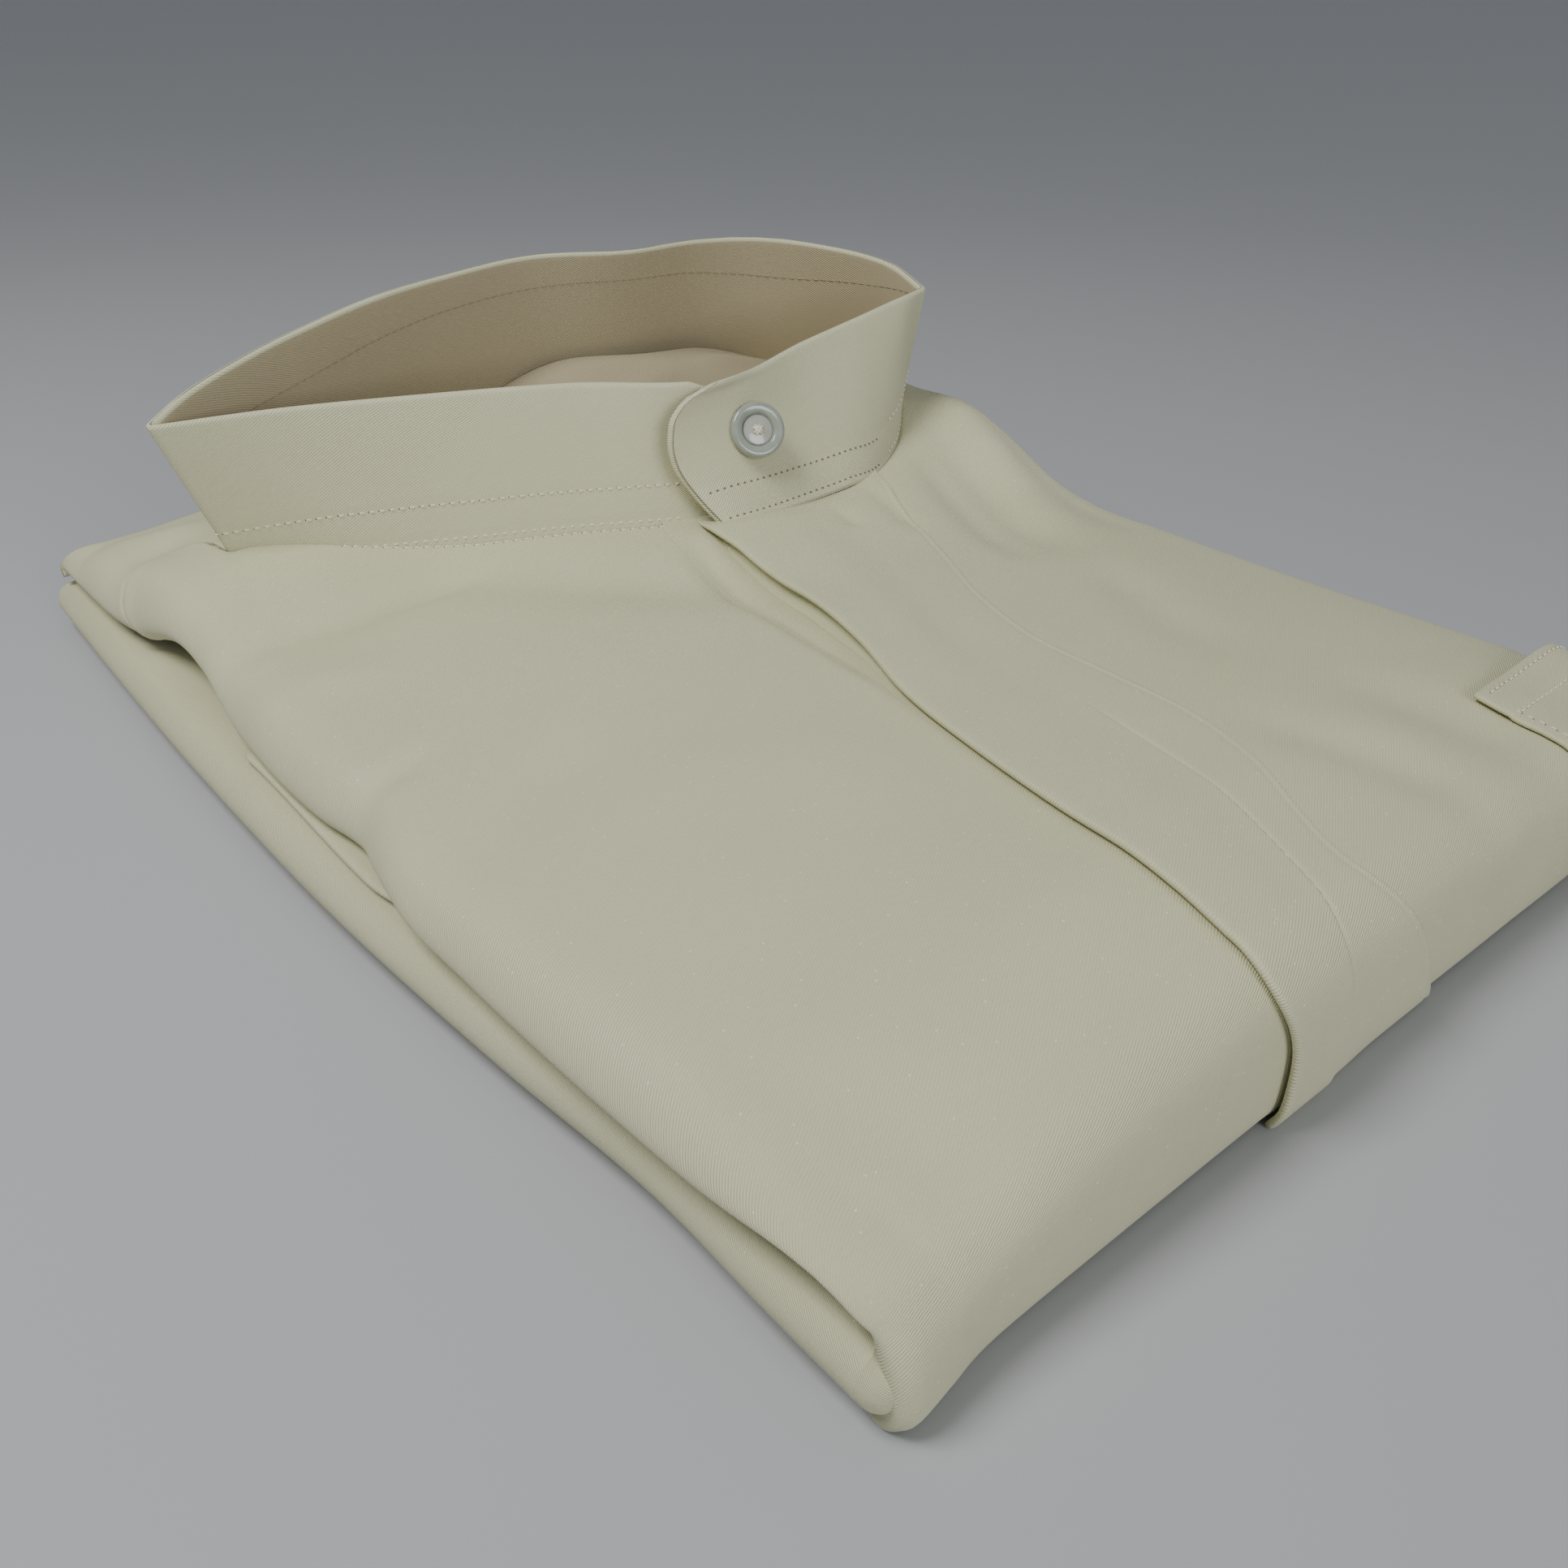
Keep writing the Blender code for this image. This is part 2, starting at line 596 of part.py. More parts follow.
def build_yoke():
    """The yoke: both shoulders and the strip behind the collar, rolled over the far edge."""
    stations = np.concatenate([YOKE_LEFT, np.linspace(-48, 66, 10), YOKE_RIGHT])
    far = np.linspace(FAR_START, FAR_START + FAR_LENGTH, 6)
    start = yoke_start(stations)
    rows = [start + (FAR_START - start) * f for f in (0.0, 0.3, 0.65)]
    b = np.array(rows + [np.full_like(stations, v) for v in far])
    stretch = ease(b, *YOKE_SETTLE)
    squeeze = 1 + stretch * (side_reach(b, -1) / -stations[0] - 1) * (stations < 0)
    squeeze = squeeze + stretch * (side_reach(b, 1) / stations[-1] - 1) * (stations >= 0)
    a = stations[None, :] * squeeze
    level = np.ones_like(a)
    sheet("yoke", lifted(a, b, 0 * level), lifted(a, b, -CLOTH * level), "cloth")


def build_back_neck():
    """The inside of the back, where it shows through the neck."""
    stations = np.linspace(-62, 72, 14)
    low = seam_y(FRONT_SEAM, stations, NECK_MARGIN)
    high = seam_y(BACK_SEAM, stations, -NECK_MARGIN)
    a = np.tile(stations, (6, 1))
    b = low + (high - low) * np.linspace(0, 1, 6)[:, None]
    level = np.ones_like(a)
    sheet("back_neck", lifted(a, b, -0.2 * level), lifted(a, b, -(0.2 + NECK_CLOTH) * level), "inside")


def strip_grid(first, last, parts, end_gap):
    """Rows and columns of a strip that lies along the middle of the front."""
    b_guess = np.concatenate([FOLD_ROWS, FIELD_ROWS, FIELD_END + PLACKET_SPAN * SEAM_ROWS])
    left = first(b_guess)
    right = last(b_guess)
    a = left[:, None] + (right - left)[:, None] * np.array(parts)[None, :]
    return a, panel_rows(a[-1], front_end(a[-1]) - end_gap)


def build_placket():
    """The outer placket, sewn down on one side and free on the other, and the strip below it."""

    def free(b):
        return curve(PLACKET_EDGES, "b", "free", b)

    def sewn(b):
        return curve(PLACKET_EDGES, "b", "sewn", b)

    def strip_side(b):
        return free(b) - curve(PLACKET_EDGES, "b", "strip", b)

    a, b = strip_grid(free, sewn, [0, 0.04, 0.2, 0.4, 0.6, 0.8, 0.97, 1.0], 0.3)
    share = (a - a[:, :1]) / (a[:, -1:] - a[:, :1])
    seat = SEAM_GAP + (STRIP + 0.35) * (1 - ease(share, 0.3, 0.62))
    crown = PLACKET * np.where((share < 0.01) | (share > 0.99), 0.55, 1.0)
    sheet("placket", lifted(a, b, seat + crown), lifted(a, b, seat), "cloth")

    a, b = strip_grid(strip_side, lambda b: free(b) + STRIP_TUCK, [0, 0.08, 0.4, 0.7, 1.0], 0.3)
    seat = np.full_like(a, SEAM_GAP + 0.12)
    crown = np.where(a - a[:, :1] < 0.01, 0.6, 1.0) * STRIP
    sheet("under_placket", lifted(a, b, seat + crown), lifted(a, b, seat), "cloth")


def build_pocket():
    """The chest pocket, over the bottom fold and round the side, with its mouth standing off."""
    rows_b = FOLD_ROWS[2:]
    parts = np.array([0, 0.04, 0.14, 0.27, 0.4, 0.52, 0.66, 0.80, 0.93])
    right = side_reach(np.concatenate([rows_b, [19.0, 24.0]]), 1)
    a = POCKET_SIDE + (right[:, None] - POCKET_SIDE) * parts[None, :]
    mouth = POCKET_MOUTH[0] + (POCKET_MOUTH[1] - POCKET_MOUTH[0]) * parts
    halfway = (rows_b[-1] + mouth) / 2
    b = np.array([np.full_like(parts, v) for v in rows_b] + [halfway, mouth])
    gape = POCKET_GAPE * ease(b, 6.0, 27.0) * ease(a, 72.0, 96.0)
    seat = SEAM_GAP + gape
    rim = np.where(parts < 0.01, 0.6, 1.0)[None, :]
    sheet("pocket", lifted(a, b, seat + POCKET * rim), lifted(a, b, seat), "cloth")


def build_core():
    """The folded layers below the top cloth: one rounded solid with layered, rolled edges."""
    across = np.array([-share for share in CORE_ACROSS[::-1]] + CORE_ACROSS)
    first = FOLD_ROLL[0]["inward"] - FOLD_LENGTH * CORE_NEAR_SHARE
    last = FAR_START + FAR_LENGTH * CORE_FAR_SHARE
    b = np.tile((first + (last - first) * np.array(CORE_ALONG))[:, None], (1, len(across)))
    reach_left = side_reach(b, -1) - SIDE_LENGTH * CORE_SIDE_SHARE
    reach_right = side_reach(b, 1) - SIDE_LENGTH * CORE_SIDE_SHARE
    a = np.where(across < 0, reach_left * across, reach_right * across)
    rolled = ease(np.abs(a), *CORE_DROPS["side"]) + ease(-b, *CORE_DROPS["near"])
    rolled = rolled + ease(b, *CORE_DROPS["far"]) + swelling(a, b, CORE_NAPE)
    top = lifted(a, b, -CORE_DEPTH - CORE_EDGE_DROP * np.clip(rolled, 0.0, 1.0))
    rows, columns = top.shape[:2]
    loop = rim_loop(rows, columns)
    points = [top.reshape(-1, 3)]
    faces = grid_faces(rows, columns, 0, False)
    rim = top.reshape(-1, 3)[loop]
    previous = loop
    count = rows * columns
    for layer in reversed(LAYERS):
        points.append(layer_ring(rim, layer))
        ring = list(range(count, count + len(loop)))
        for k in range(len(loop)):
            n = (k + 1) % len(loop)
            faces.append([previous[n], previous[k], ring[k], ring[n]])
        previous = ring
        count += len(loop)
    faces.append(previous[::-1])
    make_object("back_folded", np.concatenate(points), faces, "cloth", 0.8)


def layer_ring(rim, layer):
    """One level of the rolled layers: the package's outline, drawn in, with round corners."""
    inward = layer["inward"]
    near = layer["near"]
    far = LAYER_SPAN["far"] - inward
    low = rim.min(axis=0)
    high = rim.max(axis=0)
    share_x = 2 * (rim[:, 0] - low[0]) / (high[0] - low[0]) - 1
    ring_y = near + (far - near) * (rim[:, 1] - low[1]) / (high[1] - low[1])
    ring = []
    for share, y in zip(share_x, ring_y):
        side = "left" if share < 0 else "right"
        sign = -1 if share < 0 else 1
        edge = float(curve(LAYER_EDGE, "y", side, y)) - inward
        x = edge * share
        round_end = LAYER_SPAN["far_corner"] if y > LENGTH / 2 else LAYER_SPAN["near_corner"]
        to_side = edge - abs(x)
        to_end = min(y - near, far - y)
        if to_side < round_end and to_end < round_end:
            middle_x = sign * (edge - round_end)
            middle_y = far - round_end if y > LENGTH / 2 else near + round_end
            reach = max(np.hypot(x - middle_x, y - middle_y), 1e-6)
            x = middle_x + (x - middle_x) * round_end / reach
            y = middle_y + (y - middle_y) * round_end / reach
        ring.append((x, y, layer["z"]))
    return np.array(ring)


def build_sleeves():
    """The sleeves, turned under: a folded edge of each shows between the layers at the sides."""
    width = np.array([0.0, 0.35, 0.7, 0.9, 1.0])
    thick = np.array([1.0, 1.0, 1.0, 0.8, 0.35])
    for sleeve in SLEEVES:
        y = np.linspace(sleeve["start"], sleeve["end"], 13)
        share = np.linspace(0.0, 1.0, len(y))
        reach = sleeve["edge"] - SLEEVE_TAPER["start"] * (1 - ease(share, 0.0, SLEEVE_TAPER["start_share"]))
        reach = reach - SLEEVE_TAPER["end"] * ease(share, SLEEVE_TAPER["end_share"], 1.0)
        x = SLEEVE_INNER + (reach[:, None] - SLEEVE_INNER) * width[None, :]
        half = SLEEVE_HALF * np.tile(thick, (len(y), 1))
        rows = np.tile(y[:, None], (1, len(width)))
        outer = np.stack([sleeve["side"] * x, rows, SLEEVE_LEVEL + half], -1)
        lower = np.stack([sleeve["side"] * x, rows, SLEEVE_LEVEL - half], -1)
        sheet(sleeve["name"], outer, lower, "cloth")


def collar_columns():
    """Places round the band: shared where it laps, and denser at its two creases."""
    right, left = CREASES
    lapped = np.array([LAP_FRONT, -0.020, -0.010, 0.0, 0.012, 0.026, LAP_UNDER - 1.0])
    runs = [
        lapped,
        np.linspace(0.058, right - 0.012, 8),
        right + np.array([-0.005, 0.0, 0.005]),
        np.linspace(right + 0.012, left - 0.012, 26),
        left + np.array([-0.005, 0.0, 0.005]),
        np.linspace(left + 0.012, 1.0 + LAP_FRONT - 0.012, 11),
        1.0 + lapped,
    ]
    return np.concatenate(runs)


def build_collar():
    """The stand collar: an outer and an inner wall that lap at the front as a tab."""
    t = collar_columns()
    up = np.array([0.0, 0.34, 0.67, 1.0])
    for name, face, back in (
        ("collar_outer", COLLAR_WALL + SEAM_GAP / 2, SEAM_GAP / 2),
        ("collar_inner", -SEAM_GAP / 2, -SEAM_GAP / 2 - COLLAR_WALL),
    ):
        outer = []
        inner = []
        for share in up:
            level = np.full_like(t, share)
            corner = tab_corner(t, share)
            outer.append(band_point(t + corner, level, np.full_like(t, face)))
            inner.append(band_point(t + corner, level, np.full_like(t, back)))
        sheet(name, np.array(outer), np.array(inner), "collar" if face > 1 else "inside")


def tab_corner(t, share):
    """Draws the tab's end in towards its top and bottom, so that its corners are round."""
    end = 1 - ease(t, LAP_FRONT, LAP_FRONT + TAB_ROUND["t"])
    return TAB_ROUND["back"] * end * (2 * (share - TAB_ROUND["middle"])) ** 2 * (t < 0.5)


def build_button():
    """A round sew-on button with a raised rim, a dished middle and a shank of thread."""
    t, up = BUTTON_AT
    face = np.array([COLLAR_WALL + SEAM_GAP / 2])
    centre = band_point(np.array([t]), np.array([up]), face)[0]
    ahead = band_point(np.array([t + 0.01]), np.array([up]), face)[0]
    above = band_point(np.array([t]), np.array([up + 0.2]), face)[0]
    across = (ahead - centre) / np.linalg.norm(ahead - centre)
    rise = (above - centre) - across * np.dot(above - centre, across)
    rise /= np.linalg.norm(rise)
    out = np.cross(across, rise)
    back = SEAM_GAP + SHANK
    top = back + BUTTON_THICK
    profile = [
        (SHANK_RADIUS, SEAM_GAP),
        (SHANK_RADIUS, back),
        (BUTTON_RADIUS - 0.9, back),
        (BUTTON_RADIUS - 0.15, back + 0.5),
        (BUTTON_RADIUS, back + 0.5 * BUTTON_THICK),
        (BUTTON_RADIUS - 0.35, top - 0.35),
        (BUTTON_RADIUS - 1.1, top),
        (BUTTON_RADIUS - 1.9, top - 0.3),
        (BUTTON_RADIUS - 2.5, top - BUTTON_DISH),
    ]
    segments = 24
    points = []
    faces = []
    for radius, level in profile:
        for k in range(segments):
            angle = 2 * np.pi * k / segments
            offset = across * np.cos(angle) * radius + rise * np.sin(angle) * radius
            points.append(centre + offset + out * level)
    for i in range(len(profile) - 1):
        for k in range(segments):
            low = i * segments + k
            next_low = i * segments + (k + 1) % segments
            faces.append([low, next_low, next_low + segments, low + segments])
    faces.append(list(range(segments))[::-1])
    faces.append(list(range((len(profile) - 1) * segments, len(profile) * segments)))
    make_object("button", np.array(points), faces, "button", 0.2)


for old in list(bpy.data.objects):
    bpy.data.objects.remove(old, do_unlink=True)

build_core()
build_fronts()
build_yoke()
build_back_neck()
build_placket()
build_pocket()
build_sleeves()
build_collar()
build_button()
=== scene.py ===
# Looks of a thobe folded flat: cloth shells, stitching, button, floor, light and camera.
# X runs across the package towards the wearer's left, Y from the bottom fold to the collar, Z up.
# Every length is in millimetres until a mesh is made, where MM turns it into metres.

import bpy
import numpy as np
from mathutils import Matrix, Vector


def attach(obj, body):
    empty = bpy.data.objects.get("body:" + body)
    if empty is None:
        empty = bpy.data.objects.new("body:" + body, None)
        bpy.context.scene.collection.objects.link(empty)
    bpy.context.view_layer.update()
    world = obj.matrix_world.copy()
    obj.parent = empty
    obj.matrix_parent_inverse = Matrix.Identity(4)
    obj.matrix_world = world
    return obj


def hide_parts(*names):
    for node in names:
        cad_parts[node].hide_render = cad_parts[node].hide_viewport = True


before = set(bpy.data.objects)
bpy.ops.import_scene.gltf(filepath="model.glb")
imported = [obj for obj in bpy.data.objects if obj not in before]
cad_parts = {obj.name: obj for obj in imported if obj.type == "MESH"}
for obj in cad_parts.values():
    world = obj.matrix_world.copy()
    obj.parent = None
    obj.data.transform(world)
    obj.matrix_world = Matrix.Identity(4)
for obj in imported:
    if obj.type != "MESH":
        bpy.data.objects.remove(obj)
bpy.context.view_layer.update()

MM = 0.001

# Package
LENGTH = 283
BOX_CENTRE = (1.6, 142.5)
DOME_FOOT = 23.4
DOME_RISE = 8
DOME_HALF_WIDTH = 104
DOME_POWER = 2.4
ROLL_FOOT = 13.9
FAR_SINK = dict(start=238, end=275, drop=5)
NEAR_SINK = dict(start=-34, end=-4, drop=3.2)
CORNER_NUB = dict(x=-99, x_reach=9, rise=2.8)
CORNER_WRAP = (-8, 7)

# Cloth
CLOTH = 1.1
SEAM_GAP = 0.3
SEAM_LIP = 0.45
SEAM_DIP = 1.1
SEAM_TUCK = 2
NORMAL_STEP = 0.6
TABLE_CLEAR = 0.3
YOKE_LEFT = -102
YOKE_RIGHT = 108.5

# Collar
COLLAR_HALF = 0.95
COLLAR_SEAT = -1.5
LAP_STEP = 2.3
LAP_FRONT = -0.032
TAB_RAISE = 2
TAB_FLARE = 2
TAB_CORNER = 2.4
TAB_START = 0.012
TAB_STRAIGHT = 0.75
TAB_WINDOW = 0.08
UNDERLAP_DROP = 0.05
LAP_UNDER = 1.042
CORNERS = (4, 16)
NECK_STEP = 0.006
NECK_LENGTH = 390
END_DENSITY = 0.55
LAP_FADE = (0.03, 0.15)
UNDERLAP = (0.983, 0.998)
WALL_ROWS = 33
TOP_ROWS = 9
LOW_ROW = 2.3
HIGH_ROW = 9.8
INSIDE_ROW = 28

# Placket and pocket
PLACKET = 1.3
STRIP = 0.9
VALLEY_DEPTH = 3.4
VALLEY_END = (150, 174)
PLACKET_DIP = 12
TURNING_STEP = 0.45
GROOVE = 0.42
TURNING_SEAT = 0.85
TURNING_FADE = (38, 66)
STRIP_TUCK = 6
POCKET = 1
POCKET_SIDE = 64
POCKET_MOUTH = (24, 27.5)
POCKET_GAPE = 2.4

# Button, 19 line
BUTTON_RADIUS = 6
BUTTON_THICK = 2.6
BUTTON_AT = (0.0225, 0.575)
SHANK = 0.8
BUTTON_FACE = (-0.34, -0.83, 0.44)

# Thread
THREAD = 0.23
STITCH = dict(pitch=2.1, length=1.3)
TAB_STITCH = dict(pitch=1.7, length=1.1)
SEAM_STITCH = dict(pitch=2.2, length=2.15, thread=0.13)
BUTTON_STITCH = dict(pitch=2, length=2.6, thread=0.24)
THREAD_SIDES = 6
HOLE_SIDES = 8

# Sleeves
SLEEVE_LEVEL = 13.65
SLEEVE_THICK = 1.2
SLEEVE_INNER = 80


def table(names, *rows):
    """A short table: one dict for each row of values."""
    return [dict(zip(names.split(), row)) for row in rows]


# Half-width of the top cloth along the package.
EDGE = table(
    "y left right",
    (0, 100, 101.5), (30, 102.5, 103), (85, 103.5, 103.5), (104, 102.9, 104), (116, 100.6, 104),
    (124, 98.6, 104), (138, 99.8, 104.3), (165, 99.2, 104.5), (186, 96.8, 104.5), (205, 94.6, 104.5),
    (222, 95.6, 104), (240, 97, 103), (283, 96, 100),
)

# Sections of the three rolled edges: how far in from the edge, and how far down.
SIDE_ROLL = table(
    "inward down",
    (10, 0), (6.2, 0.8), (3.2, 2.5), (1.1, 4.9), (0, 7.4), (0.6, 9.4), (2.6, 10.5), (6, 10.6),
)
SIDE_LENGTH = 20.5
FOLD_ROLL = table(
    "inward down",
    (12, 0), (8, 0.03), (4.6, 0.09), (2.1, 0.18), (0.6, 0.31), (0, 0.48), (0.1, 0.68), (0.6, 0.86),
    (2, 0.965),
)
FOLD_LENGTH = 36

# Where the bottom fold meets a side, its end wraps round the corner: in from the edge, and along it.
CORNER_ROLL = table(
    "inward along",
    (10, 0), (6, 0.05), (2.4, 0.3), (0.6, 1.4), (0, 2.6), (0.3, 3.8), (1.4, 4.6), (3, 5),
)
FAR_ROLL = table("inward down", (12, 0), (7.4, 1), (3.6, 3.2), (1.2, 6), (0, 8.8), (0.7, 10.6))
FAR_LENGTH = 18
FOLD_START = FOLD_ROLL[0]["inward"]
FAR_START = LENGTH - FAR_ROLL[0]["inward"]

# Swellings of the top cloth: middle, reach and rise.
SWELLS = table(
    "x y x_reach y_reach rise",
    (96, 200, 50, 50, 18.2), (20, 246, 75, 20, 13), (-92, 6, 26, 26, -3),
)

# The front's cloth rises over the foot of the collar near its right end.
OVER_COLLAR = dict(x=-76, y=220, x_reach=30, y_reach=19, rise=4.6)

# Where the top cloth's rolled side stands higher off the layer below it.
EDGE_LIFTS = table(
    "x y x_reach y_reach rise",
    (-100, 15, 30, 11, 2.2), (-100, 212, 30, 15, 5), (-100, 192, 30, 9, 3.2), (-100, 110, 30, 9, 1.2),
    (104, 96, 30, 20, 1.6), (104, 190, 30, 24, 2.2),
)

# Soft folds of the top cloth: a line, its half-width and its height (a trough is negative).
FOLDS = table(
    "x0 y0 x1 y1 width rise",
    (-52, 198, 6, 128, 12, -2.4), (-97, 188, -40, 187, 5.5, -1.7), (-32, 193, -84, 178, 6.5, -1.5),
    (-104, 172, -72, 160, 7, 1.1), (-101, 122, -84, 130, 3.2, -1.5), (-100, 96, -62, 112, 8, -0.9),
    (84, 172, 62, 118, 8, -3.8), (70, 166, 52, 118, 5, -2.2), (97, 186, 84, 150, 9, 3.4),
    (100, 162, 88, 120, 7, -1.8), (62, 104, 42, 64, 7, -1.3), (50, 40, 58, 8, 9, -1.8),
    (22, 44, 34, 6, 6, -1.2), (48, 160, 40, 138, 3, -1), (34, 158, 31, 146, 2.4, -0.7),
    (-97, 30, -90, 6, 3, -1), (-70, 96, -30, 70, 14, 1.2), (-94, 40, -80, 8, 8, -1.3),
    (-40, 34, -30, 6, 12, 0.9), (-78, 238, -99, 256, 6, -2), (-74, 246, -90, 272, 6, 1.8),
    (94, 262, 60, 254, 7, 1.8), (100, 246, 74, 244, 6, -1.6), (30, 272, 62, 262, 6, -1.2),
    (-40, 270, -8, 262, 7, -1.1),
)

# The back's cloth inside the neck stands up against the band, in soft folds.
NECK_RISE = dict(x=38, flat=14, reach=56, short=4.2, rise=8.5)
NECK_FOLDS = table(
    "x0 y0 x1 y1 width rise",
    (-20, 218, 44, 231, 3.4, 1.6), (72, 212, 40, 224, 3, -1.5), (78, 222, 52, 232, 2.6, 1.4),
    (-50, 214, -8, 228, 3.6, -1.2),
)

# Collar: foot and top of the band, from the middle of the front round by the right to the left.
COLLAR = table(
    "x y top_x top_y top_z",
    (11.5, 175, 17.7, 179, 61), (35, 168, 45, 183, 64), (53, 167, 65, 182.5, 67.2),
    (67, 173, 76, 181.5, 69.4), (82, 187, 83.5, 181, 71), (86, 203, 83.5, 193, 75),
    (83, 219, 77.5, 213.5, 77.3), (73, 232, 69, 227, 78), (60, 239, 57, 233.5, 78),
    (38, 243, 36, 235, 77.6), (18, 247, 15, 243, 78), (-6, 246, -9, 243, 76.5),
    (-24, 243, -27.5, 240, 75), (-41, 238, -45, 236, 72.4), (-56, 233.5, -61.5, 232.5, 69),
    (-67, 229, -79, 227, 64.4), (-74.7, 224.5, -88, 222.5, 61), (-55.5, 213, -62.5, 217.5, 61),
    (-38, 203, -37.7, 208.7, 61), (-15, 190, -8, 195.7, 61),
)

# Placket: its free edge, its sewn edge, the strip below it and the line of its inner turning.
PLACKET_EDGES = table(
    "b free sewn strip turning",
    (-24, -26, 17, 0, -14), (-11, -27, 8, 0, -14.5), (0, -30.5, 1.5, 0, -14), (9, -30, -1, 0, -11),
    (20, -28, 2.5, 0, -7), (32, -26.3, 9, 0, -3), (45, -24.5, 14, 0, 0), (65, -20.8, 15.8, 0, 4),
    (85, -16, 17.5, 1, 10), (104, -8.3, 24, 4.5, 16), (124, -2, 34.5, 7.5, 23), (150, 4, 47, 8.5, 31),
    (168, 9, 55, 7, 39), (178, 19, 59, 5, 42),
)

# Seam between the front and the yoke, left and right of the collar.
YOKE_SEAM = table("x y", (-103, 229), (-97, 236), (-90, 240.5), (-84, 240.5), (-79, 234), (-76, 225))
YOKE_SEAM_RIGHT = table("x y", (84.5, 198), (90, 203), (97, 207), (108, 206))

# The folded lower body: section of its rolled edge and its half-width along the package.
LOWER_ROLL = table(
    "inward z",
    (34, 1.6), (16, 1.5), (8, 1.3), (4.2, 1.6), (1.6, 2.8), (0.2, 5), (0, 7.2), (1.2, 9.5), (3.8, 11.2),
    (8, 12), (16, 12.2), (34, 12.2),
)
LOWER_NEAR = 2.6
LOWER_FAR = 288
LOWER_CORNER = 3.4
LOWER_NUB = dict(x=-100, x_reach=8, rise=2.6)
LOWER_DEPTH = 75
UNDER_CORNER = 6
LOWER_EDGE = table(
    "y left right",
    (0, 102.4, 101.5), (20, 102, 101.5), (40, 101.3, 101.5), (78, 103.5, 102.5), (120, 105, 103),
    (180, 104, 103), (240, 101, 101), (286, 98, 98),
)


def column(table, name):
    """One named column of a short table."""
    return np.array([row[name] for row in table], float)


def steps(count):
    """Even shares from 0 to 1."""
    return np.linspace(0, 1, count)


def curve(table, at, name, value):
    """Value of a column where another column has the value at, on a smooth curve."""
    return smooth(column(table, at), column(table, name), value)


def smooth(xs, ys, value):
    """Value at a place on a smooth curve through places xs and values ys."""
    slopes = np.gradient(ys, xs)
    value = np.clip(value, xs[0], xs[-1])
    i = np.clip(np.searchsorted(xs, value) - 1, 0, len(xs) - 2)
    step = xs[i + 1] - xs[i]
    t = (value - xs[i]) / step
    bend = t * (1 - t) * ((1 - t) * slopes[i] - t * slopes[i + 1])
    return ys[i] + (ys[i + 1] - ys[i]) * t * t * (3 - 2 * t) + step * bend


def roll(table, name, progress):
    """A column of a rolled edge's section, from 0 at its flat start to 1 at its end."""
    values = column(table, name)
    beyond = np.maximum(progress - 1, 0)
    end_slope = (values[-1] - values[-2]) * (len(table) - 1)
    return smooth(steps(len(table)), values, progress) + beyond * end_slope


def ease(value, low, high):
    """0 below low, 1 above high, smooth between."""
    t = np.clip((value - low) / (high - low), 0, 1)
    return t * t * (3 - 2 * t)


def fade(value, low, high):
    """1 below low, 0 above high, smooth between."""
    return 1 - ease(value, low, high)


def bell(value, middle, reach):
    return np.exp(-(((value - middle) / reach) ** 2))


def soft_bump(x, y, row):
    """Height that a swelling adds. Without a y it runs all along the cloth."""
    rise = row["rise"] * bell(x, row["x"], row["x_reach"])
    return rise * bell(y, row["y"], row["y_reach"]) if "y" in row else rise


def unit(vectors):
    """Vectors scaled to length 1."""
    return vectors / (np.linalg.norm(vectors, axis=-1, keepdims=True) + 1e-9)


def run_length(points):
    """Length along a row of points up to each of them."""
    return np.concatenate([[0], np.cumsum(np.linalg.norm(np.diff(points, axis=0), axis=1))])


def between(where, at, points):
    """Points at places along a row whose own points lie at other places."""
    return np.stack([np.interp(where, at, values) for values in points.T], -1)


def circle(count, across, rise):
    """Offsets round the circle that two vectors span."""
    angle = 2 * np.pi * np.arange(count)[:, None] / count
    return across * np.cos(angle) + rise * np.sin(angle)


def tube_faces(rings, sides, start=0):
    """Faces round a row of rings, with a lid at both ends."""
    last = start + (rings - 1) * sides
    faces = []
    for low in range(start, last, sides):
        for k in range(sides):
            n = (k + 1) % sides
            faces.append([low + k, low + n, low + sides + n, low + sides + k])
    faces.append([start + k for k in range(sides)][::-1])
    faces.append([last + k for k in range(sides)])
    return faces


def soft_fold(x, y, fold):
    """Height that one soft fold adds, fading towards both ends of its line."""
    x0, y0, x1, y1, width, rise = fold.values()
    dx, dy = x1 - x0, y1 - y0
    length = np.hypot(dx, dy)
    along = ((x - x0) * dx + (y - y0) * dy) / length
    aside = ((x - x0) * dy - (y - y0) * dx) / length
    ends = ease(along, -0.2 * length, 0.35 * length) * ease(-along, -1.2 * length, -0.65 * length)
    return rise * ends * bell(aside, 0, width)


def front_line(name, b):
    """One of the placket's lines across the front, at row b."""
    return curve(PLACKET_EDGES, "b", name, b)


def valley(x, y):
    """How far the right front dips beside the placket's free edge, near the collar."""
    reach = front_line("strip", y)
    beside = x - front_line("free", y)
    dip = ease(beside / np.maximum(reach, 0.5), -1.6, -0.62) * fade(beside, 0, 3)
    return VALLEY_DEPTH * dip * ease(reach, 0, 7) * fade(y, *VALLEY_END)


def height(x, y, sunk=1):
    """Height of the top cloth's outer face over the table."""
    across = np.clip(np.abs(x) / DOME_HALF_WIDTH, 0, 1)
    z = DOME_FOOT + DOME_RISE * (1 - across**DOME_POWER)
    z = z + sum(soft_bump(x, y, swell) for swell in SWELLS + [OVER_COLLAR])
    for sink, place in ((FAR_SINK, y), (NEAR_SINK, -y)):
        z = z - sink["drop"] * ease(place, sink["start"], sink["end"])
    return z + sum(soft_fold(x, y, fold) for fold in FOLDS) - sunk * valley(x, y)


def edges(table, y):
    """Left and right half-width of the package at y."""
    return curve(table, "y", "left", y), curve(table, "y", "right", y)


